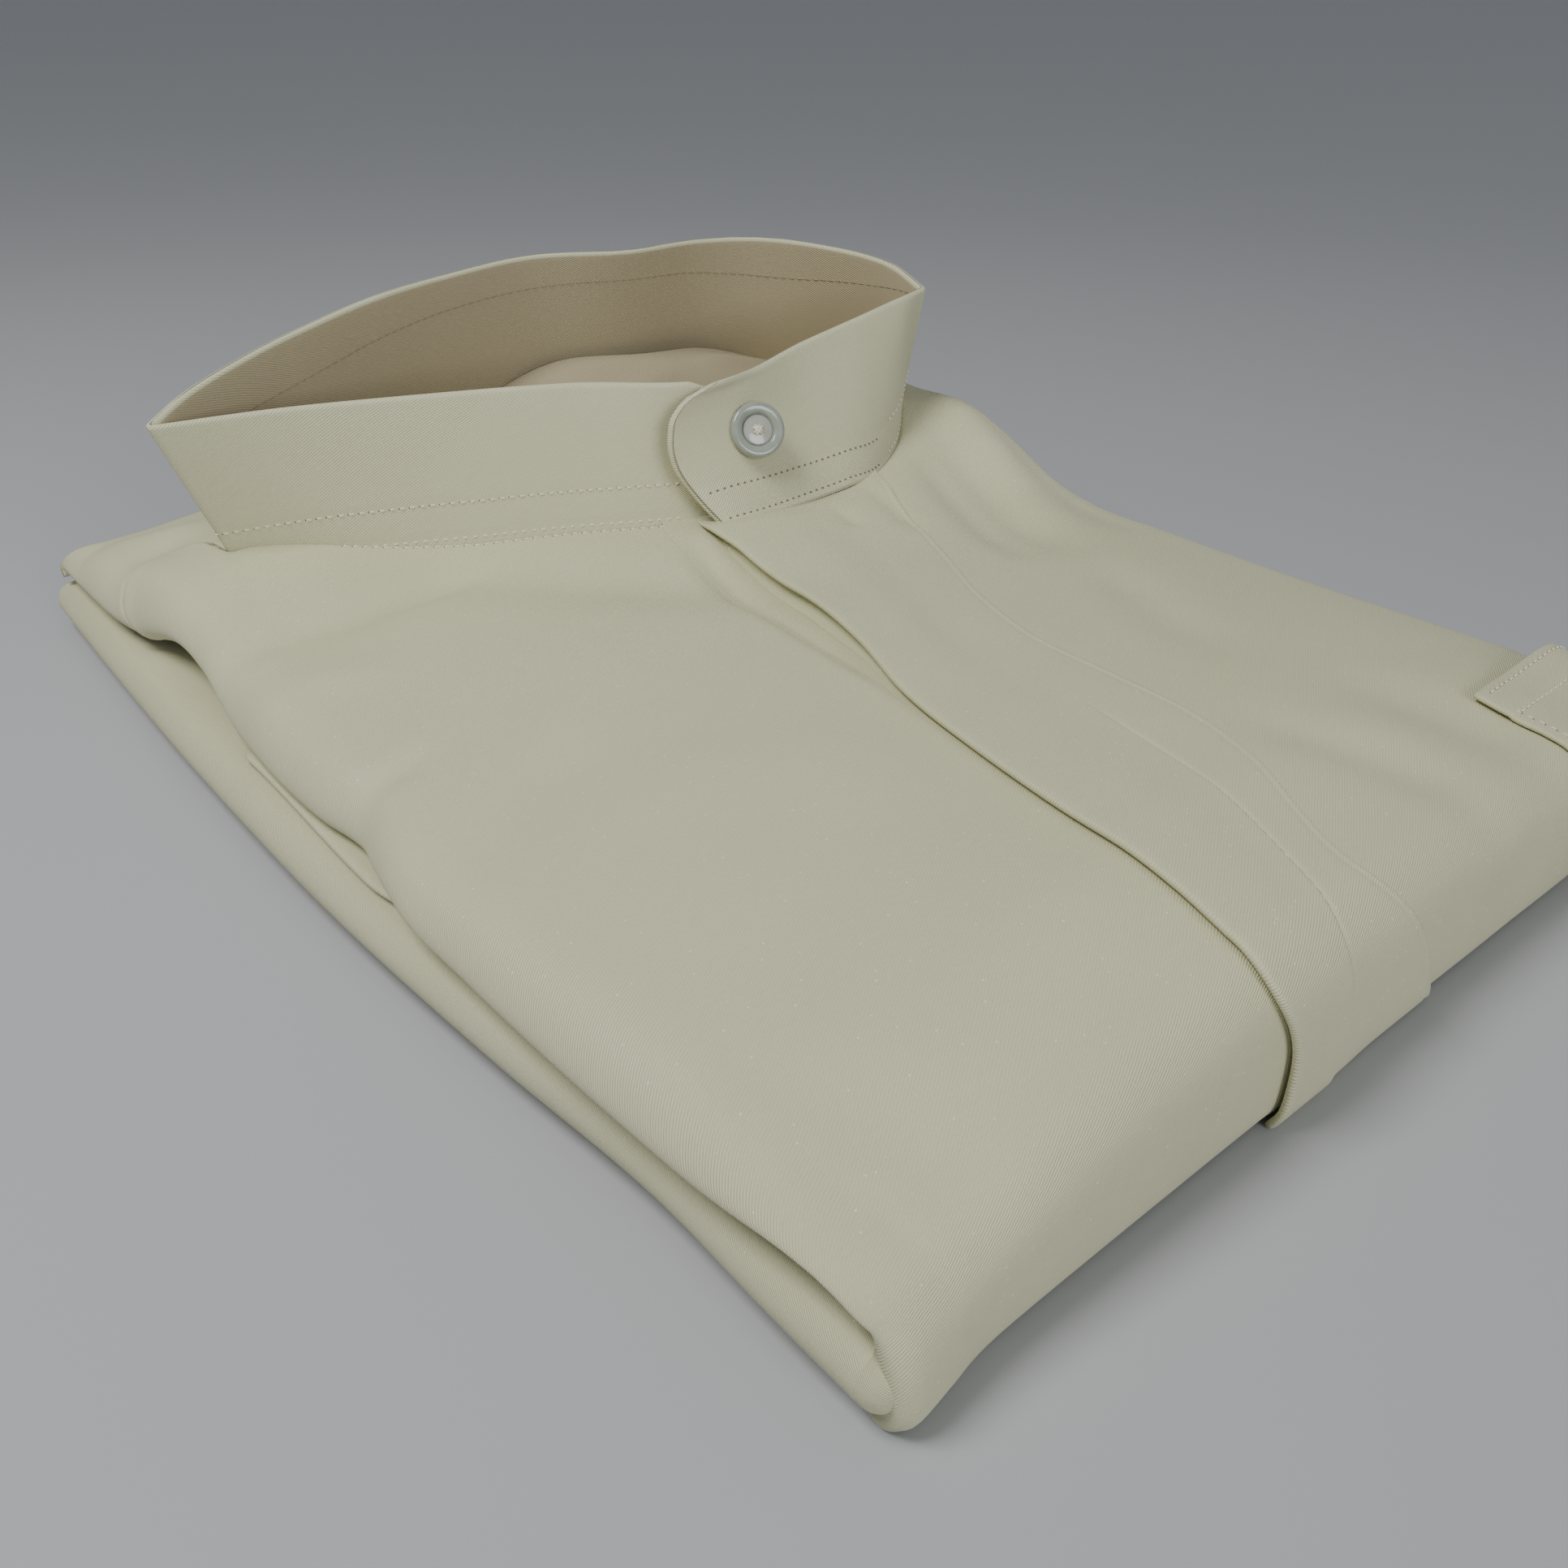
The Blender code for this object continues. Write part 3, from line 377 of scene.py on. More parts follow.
def half_width(y, side):
    return np.where(side < 0, *edges(EDGE, y))


def surface(a, b, sunk=1):
    """Outer face of the top cloth. a runs across it and b along it, both in cloth millimetres."""
    near = (FOLD_START - b) / FOLD_LENGTH
    far = (b - FAR_START) / FAR_LENGTH
    y = np.where(near > 0, roll(FOLD_ROLL, "inward", near), b)
    y = np.where(far > 0, LENGTH - roll(FAR_ROLL, "inward", far), y)
    y = y - soft_bump(a, 0, CORNER_NUB) * ease(near, 0.35, 0.85)
    edge = half_width(y, a)
    flat = edge - SIDE_ROLL[0]["inward"]
    round_side = (np.abs(a) - flat) / SIDE_LENGTH
    wrap = fade(b, *CORNER_WRAP)
    inward = roll(SIDE_ROLL, "inward", round_side)
    inward = inward + wrap * (roll(CORNER_ROLL, "inward", round_side) - inward)
    x = np.where(round_side > 0, np.sign(a) * (edge - inward), a)
    y = y + wrap * np.where(round_side > 0, roll(CORNER_ROLL, "along", round_side), 0)
    level = height(np.clip(x, -flat, flat), np.clip(y, FOLD_START, FAR_START), sunk)
    side_drop = (1 - wrap) * roll(SIDE_ROLL, "down", round_side)
    drop = np.maximum(side_drop, roll(FAR_ROLL, "down", far))
    foot = ROLL_FOOT + sum(soft_bump(a, b, lift) for lift in EDGE_LIFTS)
    level = level - drop * np.maximum(level - foot, 0) / FAR_ROLL[-1]["down"]
    z = level * (1 - np.where(near > 0, roll(FOLD_ROLL, "down", near), 0))
    return np.stack([x, y, z], -1)


def lifted(a, b, out, sunk=1):
    """Points of the top cloth moved out along its normals."""
    along_a = surface(a + NORMAL_STEP, b, sunk) - surface(a - NORMAL_STEP, b, sunk)
    along_b = surface(a, b + NORMAL_STEP, sunk) - surface(a, b - NORMAL_STEP, sunk)
    normal = unit(np.cross(along_a, along_b))
    return surface(a, b, sunk) + normal * (np.zeros_like(a, float) + out)[..., None]


def spline_run(rows, count):
    """Points on a smooth curve through a run of collar rows, denser at both ends."""
    points = np.array([list(row.values()) for row in rows], float)
    knots = run_length(points)
    even = steps(count + 1)[:-1]
    t = END_DENSITY * (0.5 - 0.5 * np.cos(np.pi * even)) + (1 - END_DENSITY) * even
    return np.stack([smooth(knots / knots[-1], values, t) for values in points.T], -1)


def collar_ring(front_count, back_count):
    """Foot and top of the band round the whole neck, as one closed ring that starts at the middle."""
    right, left = CORNERS
    front = spline_run(COLLAR[left:] + COLLAR[: right + 1], front_count)
    ring = np.concatenate([front, spline_run(COLLAR[right : left + 1], back_count)])
    start = np.argmin(np.hypot(ring[:, 0] - COLLAR[0]["x"], ring[:, 1] - COLLAR[0]["y"]))
    return np.roll(ring, -start, axis=0)


def smooth_ring(ring):
    kernel = np.exp(-(np.linspace(-2, 2, 17) ** 2))
    kernel /= kernel.sum()
    ring = sum(w * np.roll(ring, 8 - k, axis=0) for k, w in enumerate(kernel))
    return np.concatenate([ring, ring[:1]])


RING = smooth_ring(collar_ring(480, 300))


def collar_at(t):
    """Foot, top and outward direction of the band at t, which runs from 0 to 1 round the neck."""
    knots = run_length(RING[:, :2])
    knots = knots / knots[-1]
    t = t % 1
    middle = (RING[:, :2] + RING[:, 2:4]) / 2
    ahead = between((t + NECK_STEP) % 1, knots, middle)
    run = unit(ahead - between((t - NECK_STEP) % 1, knots, middle))
    return between(t, knots, RING), np.stack([run[..., 1], -run[..., 0]], -1)


def lap(t):
    """How far the band stands out where it laps over itself at the front."""
    return LAP_STEP * fade(t, *LAP_FADE) * (t < 0.5)


def band_row_at(t):
    """As collar_at, but the tab's end runs on straight where the band below it bends away."""
    row, normal = collar_at(t)
    start, start_normal = collar_at(TAB_START)
    run = collar_at(TAB_START + NECK_STEP)[0] - collar_at(TAB_START - NECK_STEP)[0]
    past = (t - TAB_START)[..., None] * run / (2 * NECK_STEP)
    share = TAB_STRAIGHT * ((t < TAB_START) & (t > -0.2))[..., None]
    return row + share * (start + past - row), normal + share * (start_normal - normal)


def band_point(t, up, out):
    """Point on the collar: up is 0 at its seam and 1 at its top edge, out is in millimetres."""
    row, normal = band_row_at(t)
    floor = height(row[..., 0], row[..., 1]) + COLLAR_SEAT
    floor = floor - soft_bump(row[..., 0], row[..., 1], OVER_COLLAR)
    floor = floor + TAB_RAISE * ease(lap(t), 0.2, 1.2) * ease(t, LAP_FRONT, 0.012)
    foot = np.concatenate([row[..., :2], floor[..., None]], -1)
    up = up * (1 - UNDERLAP_DROP * ease(t, *UNDERLAP))
    point = foot + (row[..., 2:5] - foot) * up[..., None]
    corner = 1 + TAB_CORNER * fade(t, LAP_FRONT + 0.022, 0.06)
    flare = 1 + TAB_FLARE * corner * (1 - up) ** 2 / LAP_STEP
    point[..., :2] += normal * (out + lap(t) * flare)[..., None]
    return point


def seam_line(front):
    """The collar's seam in plan, front or back, as x and y sorted by x."""
    row = collar_at(np.linspace(0, 1, 400, endpoint=False))[0]
    places = np.arange(len(row))
    back = (places >= np.argmax(row[:, 0])) & (places <= np.argmin(row[:, 0]))
    seam = row[~back if front else back]
    return seam[np.argsort(seam[:, 0]), :2]


FRONT_SEAM = seam_line(True)
BACK_SEAM = seam_line(False)


def beside_seam(seam, a, gap):
    """y at a gap beyond the collar's seam, and beside the collar beyond the yoke's."""
    y = np.interp(a, *seam.T)
    y = np.where(a < YOKE_SEAM[-1]["x"] - 1.5, curve(YOKE_SEAM, "x", "y", a) + gap, y)
    return np.where(a > YOKE_SEAM_RIGHT[0]["x"], curve(YOKE_SEAM_RIGHT, "x", "y", a) + gap, y)


def front_end(a):
    """Where the front's cloth ends: at the collar's seam, or at the yoke beside the collar."""
    return beside_seam(FRONT_SEAM, a, -SEAM_GAP)


def beside_collar(a):
    """1 beside the collar, where the front laps over the yoke, and 0 along the collar."""
    return ease(-a, 76, 79) + ease(a, 85, 88)


# Materials


class Nodes:
    """Adds and joins shader nodes of one material."""

    def __init__(self, name):
        self.material = bpy.data.materials.new(name)
        self.material.use_nodes = True
        self.tree = self.material.node_tree
        self.shader = self.tree.nodes["Principled BSDF"]

    def add(self, kind, inputs=(), **settings):
        node = self.tree.nodes.new(kind)
        for key, value in settings.items():
            setattr(node, key, value)
        for key, value in dict(inputs).items():
            if isinstance(value, bpy.types.NodeSocket):
                self.tree.links.new(value, node.inputs[key])
            else:
                node.inputs[key].default_value = value
        return node

    def math(self, operation, first, second=0.0):
        return self.add("ShaderNodeMath", {0: first, 1: second}, operation=operation).outputs[0]

    def mix(self, share, first, second):
        node = self.add("ShaderNodeMix", {0: share, 6: first, 7: second}, data_type="RGBA")
        return node.outputs[2]

    def ramp(self, value, low, high):
        inputs = {"Value": value, "From Min": low, "From Max": high}
        return self.add("ShaderNodeMapRange", inputs).outputs[0]

    def noise(self, vector, scale, detail):
        inputs = {"Vector": vector, "Scale": scale, "Detail": detail}
        return self.add("ShaderNodeTexNoise", inputs).outputs[0]

    def blend(self, *parts):
        """Sum of values, each times its weight."""
        terms = [self.math("MULTIPLY", value, weight) for value, weight in parts]
        total = terms[0]
        for term in terms[1:]:
            total = self.math("ADD", total, term)
        return total

    def shine(self, **values):
        for name, value in values.items():
            self.shader.inputs[name.replace("_", " ")].default_value = value

    def link(self, socket, name):
        self.tree.links.new(socket, self.shader.inputs[name])


TWILL_PITCH = 0.44
WAVE_UNIT = 0.314


def cloth_material(name, colour, shade, sparkle=0.0):
    """Fine twill: diagonal ribs, thread unevenness, soft sheen and a few painted glints, bright points
    mixed into the base colour.
    """
    n = Nodes(name)
    place = n.add("ShaderNodeUVMap", uv_map="cloth").outputs[0]
    turned = n.add("ShaderNodeMapping", {"Vector": place, "Rotation": (0.0, 0.0, 1.02)}).outputs[0]
    wobble = n.noise(place, 1.6, 2.0)
    wave = {"Vector": turned, "Scale": WAVE_UNIT / TWILL_PITCH, "Distortion": 0.6, "Detail": 1.0}
    ribs = n.add("ShaderNodeTexWave", wave).outputs[1]
    threads = n.add("ShaderNodeMapping", {"Vector": place, "Scale": (0.35, 4.0, 1.0)}).outputs[0]
    slub = n.noise(threads, 1.0, 3.0)
    cloud = n.noise(place, 0.03, 3.0)
    tone = n.blend((ribs, 0.36), (slub, 0.45), (cloud, 0.45))
    base = n.mix(n.ramp(tone, 0.3, 1.0), (*shade, 1.0), (*colour, 1.0))
    # Painted glints: sparse bright points mixed into the base colour, as many as sparkle asks for.
    cells = n.add("ShaderNodeTexVoronoi", {"Vector": place, "Scale": 0.9})
    near = n.math("LESS_THAN", cells.outputs["Distance"], 0.13)
    pick = n.add("ShaderNodeSeparateColor", {0: cells.outputs["Color"]}).outputs[0]
    glint = n.math("MULTIPLY", near, n.math("GREATER_THAN", pick, 0.86))
    glint = n.math("MULTIPLY", glint, sparkle)
    n.link(n.mix(glint, base, (1.0, 0.99, 0.9, 1.0)), "Base Color")
    rough = n.ramp(n.math("ADD", ribs, wobble), 0.2, 1.8)
    n.link(n.math("ADD", 0.52, n.math("MULTIPLY", rough, 0.16)), "Roughness")
    relief = n.blend((ribs, 0.7), (slub, 0.5))
    bump_node = n.add("ShaderNodeBump", {"Strength": 1.0, "Distance": 0.00011, "Height": relief})
    n.link(bump_node.outputs[0], "Normal")
    n.shine(Sheen_Weight=0.1, Sheen_Roughness=0.45, Specular_IOR_Level=0.35)
    return n.material


def thread_material(name, colour):
    """Twisted sewing thread with a slight shine."""
    n = Nodes(name)
    place = n.add("ShaderNodeTexCoord").outputs["Object"]
    twist = n.add("ShaderNodeTexWave", {"Vector": place, "Scale": WAVE_UNIT / 0.0004}).outputs[1]
    dark = tuple(0.78 * part for part in colour)
    n.link(n.mix(twist, (*dark, 1.0), (*colour, 1.0)), "Base Color")
    n.shine(Roughness=0.42, Sheen_Weight=0.2)
    return n.material


def mottled(name, colour, dark, scale, detail):
    """A material that drifts between two tones, and the noise that it drifts by."""
    n = Nodes(name)
    place = n.add("ShaderNodeTexCoord").outputs["Object"]
    cloud = n.noise(place, scale, detail)
    n.link(n.mix(cloud, (*dark, 1.0), (*colour, 1.0)), "Base Color")
    return n, cloud


def resin_material(name, colour, dark):
    """Clear grey button resin with faint clouding."""
    n, cloud = mottled(name, colour, dark, 420.0, 3.0)
    n.link(n.math("ADD", 0.12, n.math("MULTIPLY", cloud, 0.12)), "Roughness")
    n.shine(Transmission_Weight=0.3, IOR=1.5, Coat_Weight=0.4, Coat_Roughness=0.08)
    return n.material


def plain_material(name, colour, roughness, scale):
    """A dull surface with slight mottling."""
    n = mottled(name, colour, tuple(0.96 * part for part in colour), scale, 4.0)[0]
    n.shine(Roughness=roughness, Specular_IOR_Level=0.3)
    return n.material


TOP_CLOTH = cloth_material("cream_twill", (0.655, 0.655, 0.435), (0.545, 0.535, 0.345), 0.6)
COLLAR_CLOTH = cloth_material("collar_twill", (0.63, 0.63, 0.43), (0.55, 0.54, 0.36))
# Darker, warmer copy of the twill for the back inside the neck: painted shade and warm bounced light.
INSIDE_SHADE_CLOTH = cloth_material("inside_shade_twill", (0.46, 0.405, 0.27), (0.39, 0.34, 0.22))
# Darker, warmer copy of the twill for the collar's inner wall: painted shade and warm bounced light.
COLLAR_INSIDE_SHADE = cloth_material("collar_inside_shade_twill", (0.50, 0.435, 0.28), (0.43, 0.37, 0.235))
THREAD_CREAM = thread_material("cream_thread", (0.82, 0.81, 0.62))
# Dark brown line along the collar's inside seam: painted seam shade.
INSIDE_SEAM_SHADE_THREAD = thread_material("inside_seam_shade_line", (0.30, 0.26, 0.17))
# Dull dark thread for the lines beside the placket's edges and the yoke seams: painted seam shadow.
SEAM_SHADOW_THREAD = thread_material("edge_seam_shadow_line", (0.43, 0.41, 0.28))
# Near-black dots at the needle holes: painted shade of the holes.
HOLE_SHADE = plain_material("hole_shade_paint", (0.20, 0.17, 0.10), 0.9, 900.0)
RESIN = resin_material("button_resin", (0.48, 0.53, 0.46), (0.31, 0.35, 0.31))
RESIN_EYE = resin_material("button_eye", (0.62, 0.64, 0.57), (0.48, 0.50, 0.44))
FLOOR = plain_material("pale_floor", (0.43, 0.44, 0.46), 0.55, 3.0)


# Meshes


def put(name, data):
    """Puts an object of this data in the scene."""
    thing = bpy.data.objects.new(name, data)
    bpy.context.scene.collection.objects.link(thing)
    return thing


def make_mesh(name, points, faces, material, uv=None, shift=True):
    """A named object in metres from points in millimetres, smooth, with its cloth map."""
    moved = np.array(points, float) - ([*BOX_CENTRE, 0] if shift else 0)
    mesh = bpy.data.meshes.new(name)
    mesh.from_pydata((moved * MM).tolist(), [], faces)
    mesh.shade_smooth()
    if uv is not None:
        layer = mesh.uv_layers.new(name="cloth")
        index = np.empty(len(mesh.loops), int)
        mesh.loops.foreach_get("vertex_index", index)
        layer.data.foreach_set("uv", uv[index].ravel())
    mesh.materials.append(material)
    return put(name, mesh)


def dress(piece, slot, *nodes):
    """Puts a piece on the package's one body, in place of its CAD nodes."""
    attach(piece, "root")
    if nodes:
        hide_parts(*nodes)
    return piece


def grid_faces(rows, columns, start, flip):
    i, j = np.meshgrid(np.arange(rows - 1), np.arange(columns - 1), indexing="ij")
    corner = (start + i * columns + j).ravel()
    quads = np.stack([corner, corner + 1, corner + columns + 1, corner + columns], -1)
    return (quads[:, ::-1] if flip else quads).tolist()


def rim_loop(rows, columns):
    """Row and column of the places round the edge of a grid, in order."""
    half = [(0, j) for j in range(columns - 1)] + [(i, columns - 1) for i in range(rows - 1)]
    return np.array(half + [(rows - 1 - i, columns - 1 - j) for i, j in half])


def round_edge(middle, half, reach, angles):
    """Rows of points round the edge between two walls, one row for each angle."""
    angles = np.radians(angles)[:, None, None]
    return (middle + half * np.cos(angles) + reach * np.sin(angles)).reshape(-1, 3)


def shell(name, outer, inner, uv, material):
    """A closed wall of cloth between two grids of points, with a round rim."""
    rows, columns = outer.shape[:2]
    count = rows * columns
    i, j = rim_loop(rows, columns).T
    middle = (outer + inner) / 2
    away = unit(middle[i, j] - middle[np.clip(i, 1, rows - 2), np.clip(j, 1, columns - 2)])
    half = (outer[i, j] - inner[i, j]) / 2
    reach = away * np.linalg.norm(half, axis=1, keepdims=True)
    rim = round_edge(middle[i, j], half, reach, (40, 90, 140))
    edge = i * columns + j
    loops = [edge, *(2 * count + np.arange(3 * len(edge)).reshape(3, -1)), edge + count]
    points = [outer.reshape(-1, 3), inner.reshape(-1, 3), rim]
    maps = [uv.reshape(-1, 2), uv.reshape(-1, 2), *[uv[i, j]] * 3]
    faces = grid_faces(rows, columns, 0, False) + grid_faces(rows, columns, count, True)
    for first, second in zip(loops, loops[1:]):
        quads = np.stack([first, second, np.roll(second, -1), np.roll(first, -1)], -1)
        faces += quads.tolist()
    return make_mesh(name, np.concatenate(points), faces, material, np.concatenate(maps))


def seated(a, b, out, sunk=1):
    """Points of a piece of cloth raised by out, none of them below the table."""
    points = lifted(a, b, out, sunk)
    points[..., 2] = np.maximum(points[..., 2], TABLE_CLEAR)
    return points


def cloth_shell(name, a, b, out, thick, material):
    """A piece of the top cloth over the cloth places a and b, raised by out."""
    inner = seated(a, b, out - thick)
    return shell(name, seated(a, b, out), inner, np.stack([a, b], -1), material)


# Pieces of the top cloth

FIELD_END = 141
ROWS_NEAR = np.linspace(FOLD_START - FOLD_LENGTH, FOLD_START, 34)
ROWS_FIELD = np.linspace(13.4, FIELD_END, 86)
SEAM_SHARES = steps(56)[1:]


def panel_rows(end):
    """Rows b for each column: shared rows over the fold and the field, then on to the seam."""
    rows = [np.full_like(end, b) for b in np.concatenate([ROWS_NEAR, ROWS_FIELD])]
    rows += [FIELD_END + (end - FIELD_END) * share for share in SEAM_SHARES]
    return np.array(rows)


def rough_rows(past):
    """The same rows in one column, which ends past the field by a rough length."""
    return np.concatenate([ROWS_NEAR, ROWS_FIELD, FIELD_END + past * SEAM_SHARES])


def side_reach(b, side):
    """Cloth distance from the middle to the end of the side roll at row b."""
    y = np.clip(b, 0, LENGTH)
    return half_width(y, side) - SIDE_ROLL[0]["inward"] + SIDE_LENGTH


def panel(name, side, count):
    """One front panel, from the rolled side edge to the middle line below the placket."""
    b_guess = rough_rows(59)
    outer_edge = side * side_reach(b_guess, side)
    middle = (front_line("free", b_guess) + front_line("sewn", b_guess) + side * SEAM_GAP) / 2
    share = steps(count) ** 1.15
    a = outer_edge[:, None] + (middle - outer_edge)[:, None] * share[None, :]
    b = panel_rows(front_end(a[-1]))
    beside = beside_collar(a)
    lip = SEAM_LIP * fade(b[-1] - b, 0, 4) * beside
    lip = lip - SEAM_DIP * fade(b[-1] - b, 0.6, 2.4) * (1 - beside)
    if side > 0:
        a, b, lip = a[:, ::-1], b[:, ::-1], lip[:, ::-1]
    return cloth_shell(name, a, b, lip, CLOTH, TOP_CLOTH)


def build_fronts():
    piece = dress(panel("right_front_cloth", -1, 92), "cloth", "front_right")
    piece = dress(panel("left_front_cloth", 1, 84), "cloth", "front_left")


def build_yoke():
    """The yoke: both shoulders and the strip behind the collar, rolled over the far edge."""
    left = np.linspace(YOKE_LEFT, -60, 44)[:-1]
    middle = np.linspace(-60, 72, 80)[:-1]
    stations = np.concatenate([left, middle, np.linspace(72, YOKE_RIGHT, 40)])
    seam = beside_seam(BACK_SEAM, stations, SEAM_GAP)
    start = seam - SEAM_TUCK * beside_collar(stations)
    far = np.linspace(FAR_START, FAR_START + FAR_LENGTH, 18)[1:]
    rows = [start + (FAR_START - start) * share for share in steps(46) ** 1.4]
    b = np.array(rows + [np.full_like(stations, v) for v in far])
    stretch = ease(b, 225, 268)
    squeeze = 1 + stretch * (side_reach(b, -1) / -YOKE_LEFT - 1) * (stations < 0)
    squeeze = squeeze + stretch * (side_reach(b, 1) / YOKE_RIGHT - 1) * (stations >= 0)
    a = stations[None, :] * squeeze
    tuck = (CLOTH + 0.15) * fade(b - seam, 0, SEAM_TUCK) * beside_collar(stations)
    piece = dress(cloth_shell("yoke_cloth", a, b, -tuck, CLOTH, TOP_CLOTH), "cloth", "yoke")


def build_back_neck():
    """The inside of the back, where it shows through the neck, in a darker, warmer copy of the twill
    that paints its shade.
    """
    stations = np.linspace(-70, 81.5, 100)
    low = np.interp(stations, *FRONT_SEAM.T)
    high = np.interp(stations, *BACK_SEAM.T)
    share = steps(50)[:, None]
    window = fade(np.abs(stations - NECK_RISE["x"]), NECK_RISE["flat"], NECK_RISE["reach"])
    a = np.tile(stations, (50, 1))
    b = low + (high - low - NECK_RISE["short"] * window) * share
    out = NECK_RISE["rise"] * window * ease(share, 0.3, 0.98) - 0.2
    out = out + sum(soft_fold(a, b, fold) for fold in NECK_FOLDS)
    piece = cloth_shell("back_inside_cloth", a, b, out, CLOTH, INSIDE_SHADE_CLOTH)
    dress(piece, "inside_cloth", "back_neck")


def strip_height(b):
    """How thick the strip below the placket is: flat towards the bottom fold."""
    return STRIP * (0.25 + 0.75 * ease(b, 70, 100))


def placket_columns(free, turning, sewn):
    """Columns across the placket, closest at its inner turning and at its sewn edge."""
    groove = np.array([-1.4, -0.8, -0.45, -0.2, 0, 0.2, 0.4, 0.6, 0.9, 1.4])
    edge = np.array([-2, -1.6, -1.3, -1, -0.7, -0.4, 0])
    left = free + (turning - 2.2 - free) * steps(15)
    middle = turning + 2.2 + (sewn - 3 - turning - 2.2) * steps(15)
    return np.concatenate([left, turning + groove, middle, sewn + edge], 1)


def build_placket():
    """The outer placket, sewn down on one side and free on the other."""
    b_guess = rough_rows(28)
    free, turning, sewn = [front_line(name, b_guess)[:, None] for name in ("free", "turning", "sewn")]
    a = placket_columns(free, turning, sewn)
    b = panel_rows(front_end(a[-1]) - 0.2)
    share = (a - a[:, :1]) / (a[:, -1:] - a[:, :1])
    clear = ease(b[-1] - b, 0, PLACKET_DIP)
    raised = strip_height(b) + 0.15
    seat = SEAM_GAP + raised * fade(share, 0.3, 0.62) * clear - 0.2 * (1 - clear)
    shown = fade(b, *TURNING_FADE)
    crown = PLACKET - TURNING_STEP * ease(a - turning, -0.3, 0.3) * shown
    crown = crown - GROOVE * (bell(a - turning, 0.4, 0.35) * shown + 0.4 * bell(a - sewn, -1, 0.4))
    crown = 0.3 + (crown - 0.3) * clear
    walls = seated(a, b, seat + crown, 0), seated(a, b, seat, 0)
    piece = shell("placket_cloth", *walls, np.stack([a, b], -1), TOP_CLOTH)
    dress(piece, "cloth", "placket")


def build_under_placket():
    """The strip below the placket's free edge."""
    b_guess = rough_rows(28)
    parts = steps(22)[None, :]
    free = front_line("free", b_guess)[:, None]
    left = free - front_line("strip", b_guess)[:, None]
    a = left + (free + STRIP_TUCK - left) * parts
    b = panel_rows(front_end(a[-1]) - 0.2)
    clear = ease(b[-1] - b, 0, PLACKET_DIP)
    rise = 0.12 + strip_height(b) * ease(parts, 0, 0.55) * clear
    piece = cloth_shell("under_placket_cloth", a, b, rise, 0.9 * rise, TOP_CLOTH)
    dress(piece, "cloth", "under_placket")


def pocket_gape(a, b):
    """How far the pocket stands off the front: most at its mouth, away from its sewn side."""
    return POCKET_GAPE * ease(b, 6, 27) * ease(a, 72, 96)


def pocket_mouth(share):
    return POCKET_MOUTH[0] + (POCKET_MOUTH[1] - POCKET_MOUTH[0]) * share


def build_pocket():
    """The chest pocket, over the bottom fold and round the side, with its mouth standing off."""
    parts = np.linspace(0, 0.93, 44)
    mouth = pocket_mouth(parts)
    rows = [np.full_like(parts, v) for v in ROWS_NEAR[8:]]
    rows += [FOLD_START + (mouth - FOLD_START) * share for share in steps(16)[1:]]
    b = np.array(rows)
    a = POCKET_SIDE + (side_reach(b, 1) - POCKET_SIDE) * parts[None, :]
    seat = SEAM_GAP + pocket_gape(a, b)
    hem = 0.35 * ease(b - mouth, -7.4, -6.6)
    piece = cloth_shell("pocket_cloth", a, b, seat + POCKET + hem, POCKET, TOP_CLOTH)
    dress(piece, "cloth", "pocket")


# The folded lower body and the sleeves


def outline(inward, side_points, end_points, corner_points):
    """The package's outline in plan, drawn in by inward, with round corners."""
    radius = max(LOWER_CORNER - inward, 0.4)
    ends = (LOWER_NEAR + inward, LOWER_FAR - inward)
    low, high = ends[0] + radius, ends[1] - radius
    y = np.linspace(low, high, side_points)
    left, right = edges(LOWER_EDGE, y)
    left, right = inward - left, right - inward
    across = steps(end_points)[1:-1]
    turn = np.linspace(0, np.pi / 2, corner_points)[1:-1]

    def corner(x, y, quarter):
        angle = quarter * np.pi / 2 - turn
        return np.stack([x + radius * np.cos(angle), y + radius * np.sin(angle)], -1)

    def end(x, other_x, y):
        return np.stack([x + (other_x - x) * across, np.full_like(across, y)], -1)

    near_left, far_left = left[[0, -1]] + radius
    near_right, far_right = right[[0, -1]] - radius
    run = [np.stack([left, y], -1), corner(far_left, high, 2), end(far_left, far_right, ends[1])]
    run += [corner(far_right, high, 1), np.stack([right, y], -1)[::-1], corner(near_right, low, 0)]
    run += [end(near_right, near_left, ends[0]), corner(near_left, low, -1)]
    return np.concatenate(run)


def build_lower_body():
    """The body folded below the top cloth: one soft roll round the whole package."""
    rows = []
    for progress in steps(46):
        ring = outline(roll(LOWER_ROLL, "inward", progress), 120, 90, 10)
        ring[:, 1] -= soft_bump(ring[:, 0], 0, LOWER_NUB) * ease(-ring[:, 1], -16, -3)
        level = np.full((len(ring), 1), roll(LOWER_ROLL, "z", progress))
        rows.append(np.concatenate([ring, level], 1))
    ring = np.array(rows)
    ring = np.concatenate([ring, ring[:, :1]], 1)
    run = np.roll(ring[:, :-1], -1, 1) - np.roll(ring[:, :-1], 1, 1)
    run = np.concatenate([run, run[:, :1]], 1)
    inner = ring - unit(np.cross(np.gradient(ring, axis=0), run)) * CLOTH
    down = np.linspace(0, LOWER_DEPTH, len(ring))
    uv = np.stack(np.broadcast_arrays(down[:, None], run_length(ring[23])[None, :]), -1)
    piece = shell("lower_body_cloth", ring[:, ::-1], inner[:, ::-1], uv[:, ::-1], TOP_CLOTH)
    dress(piece, "cloth", "back_folded")


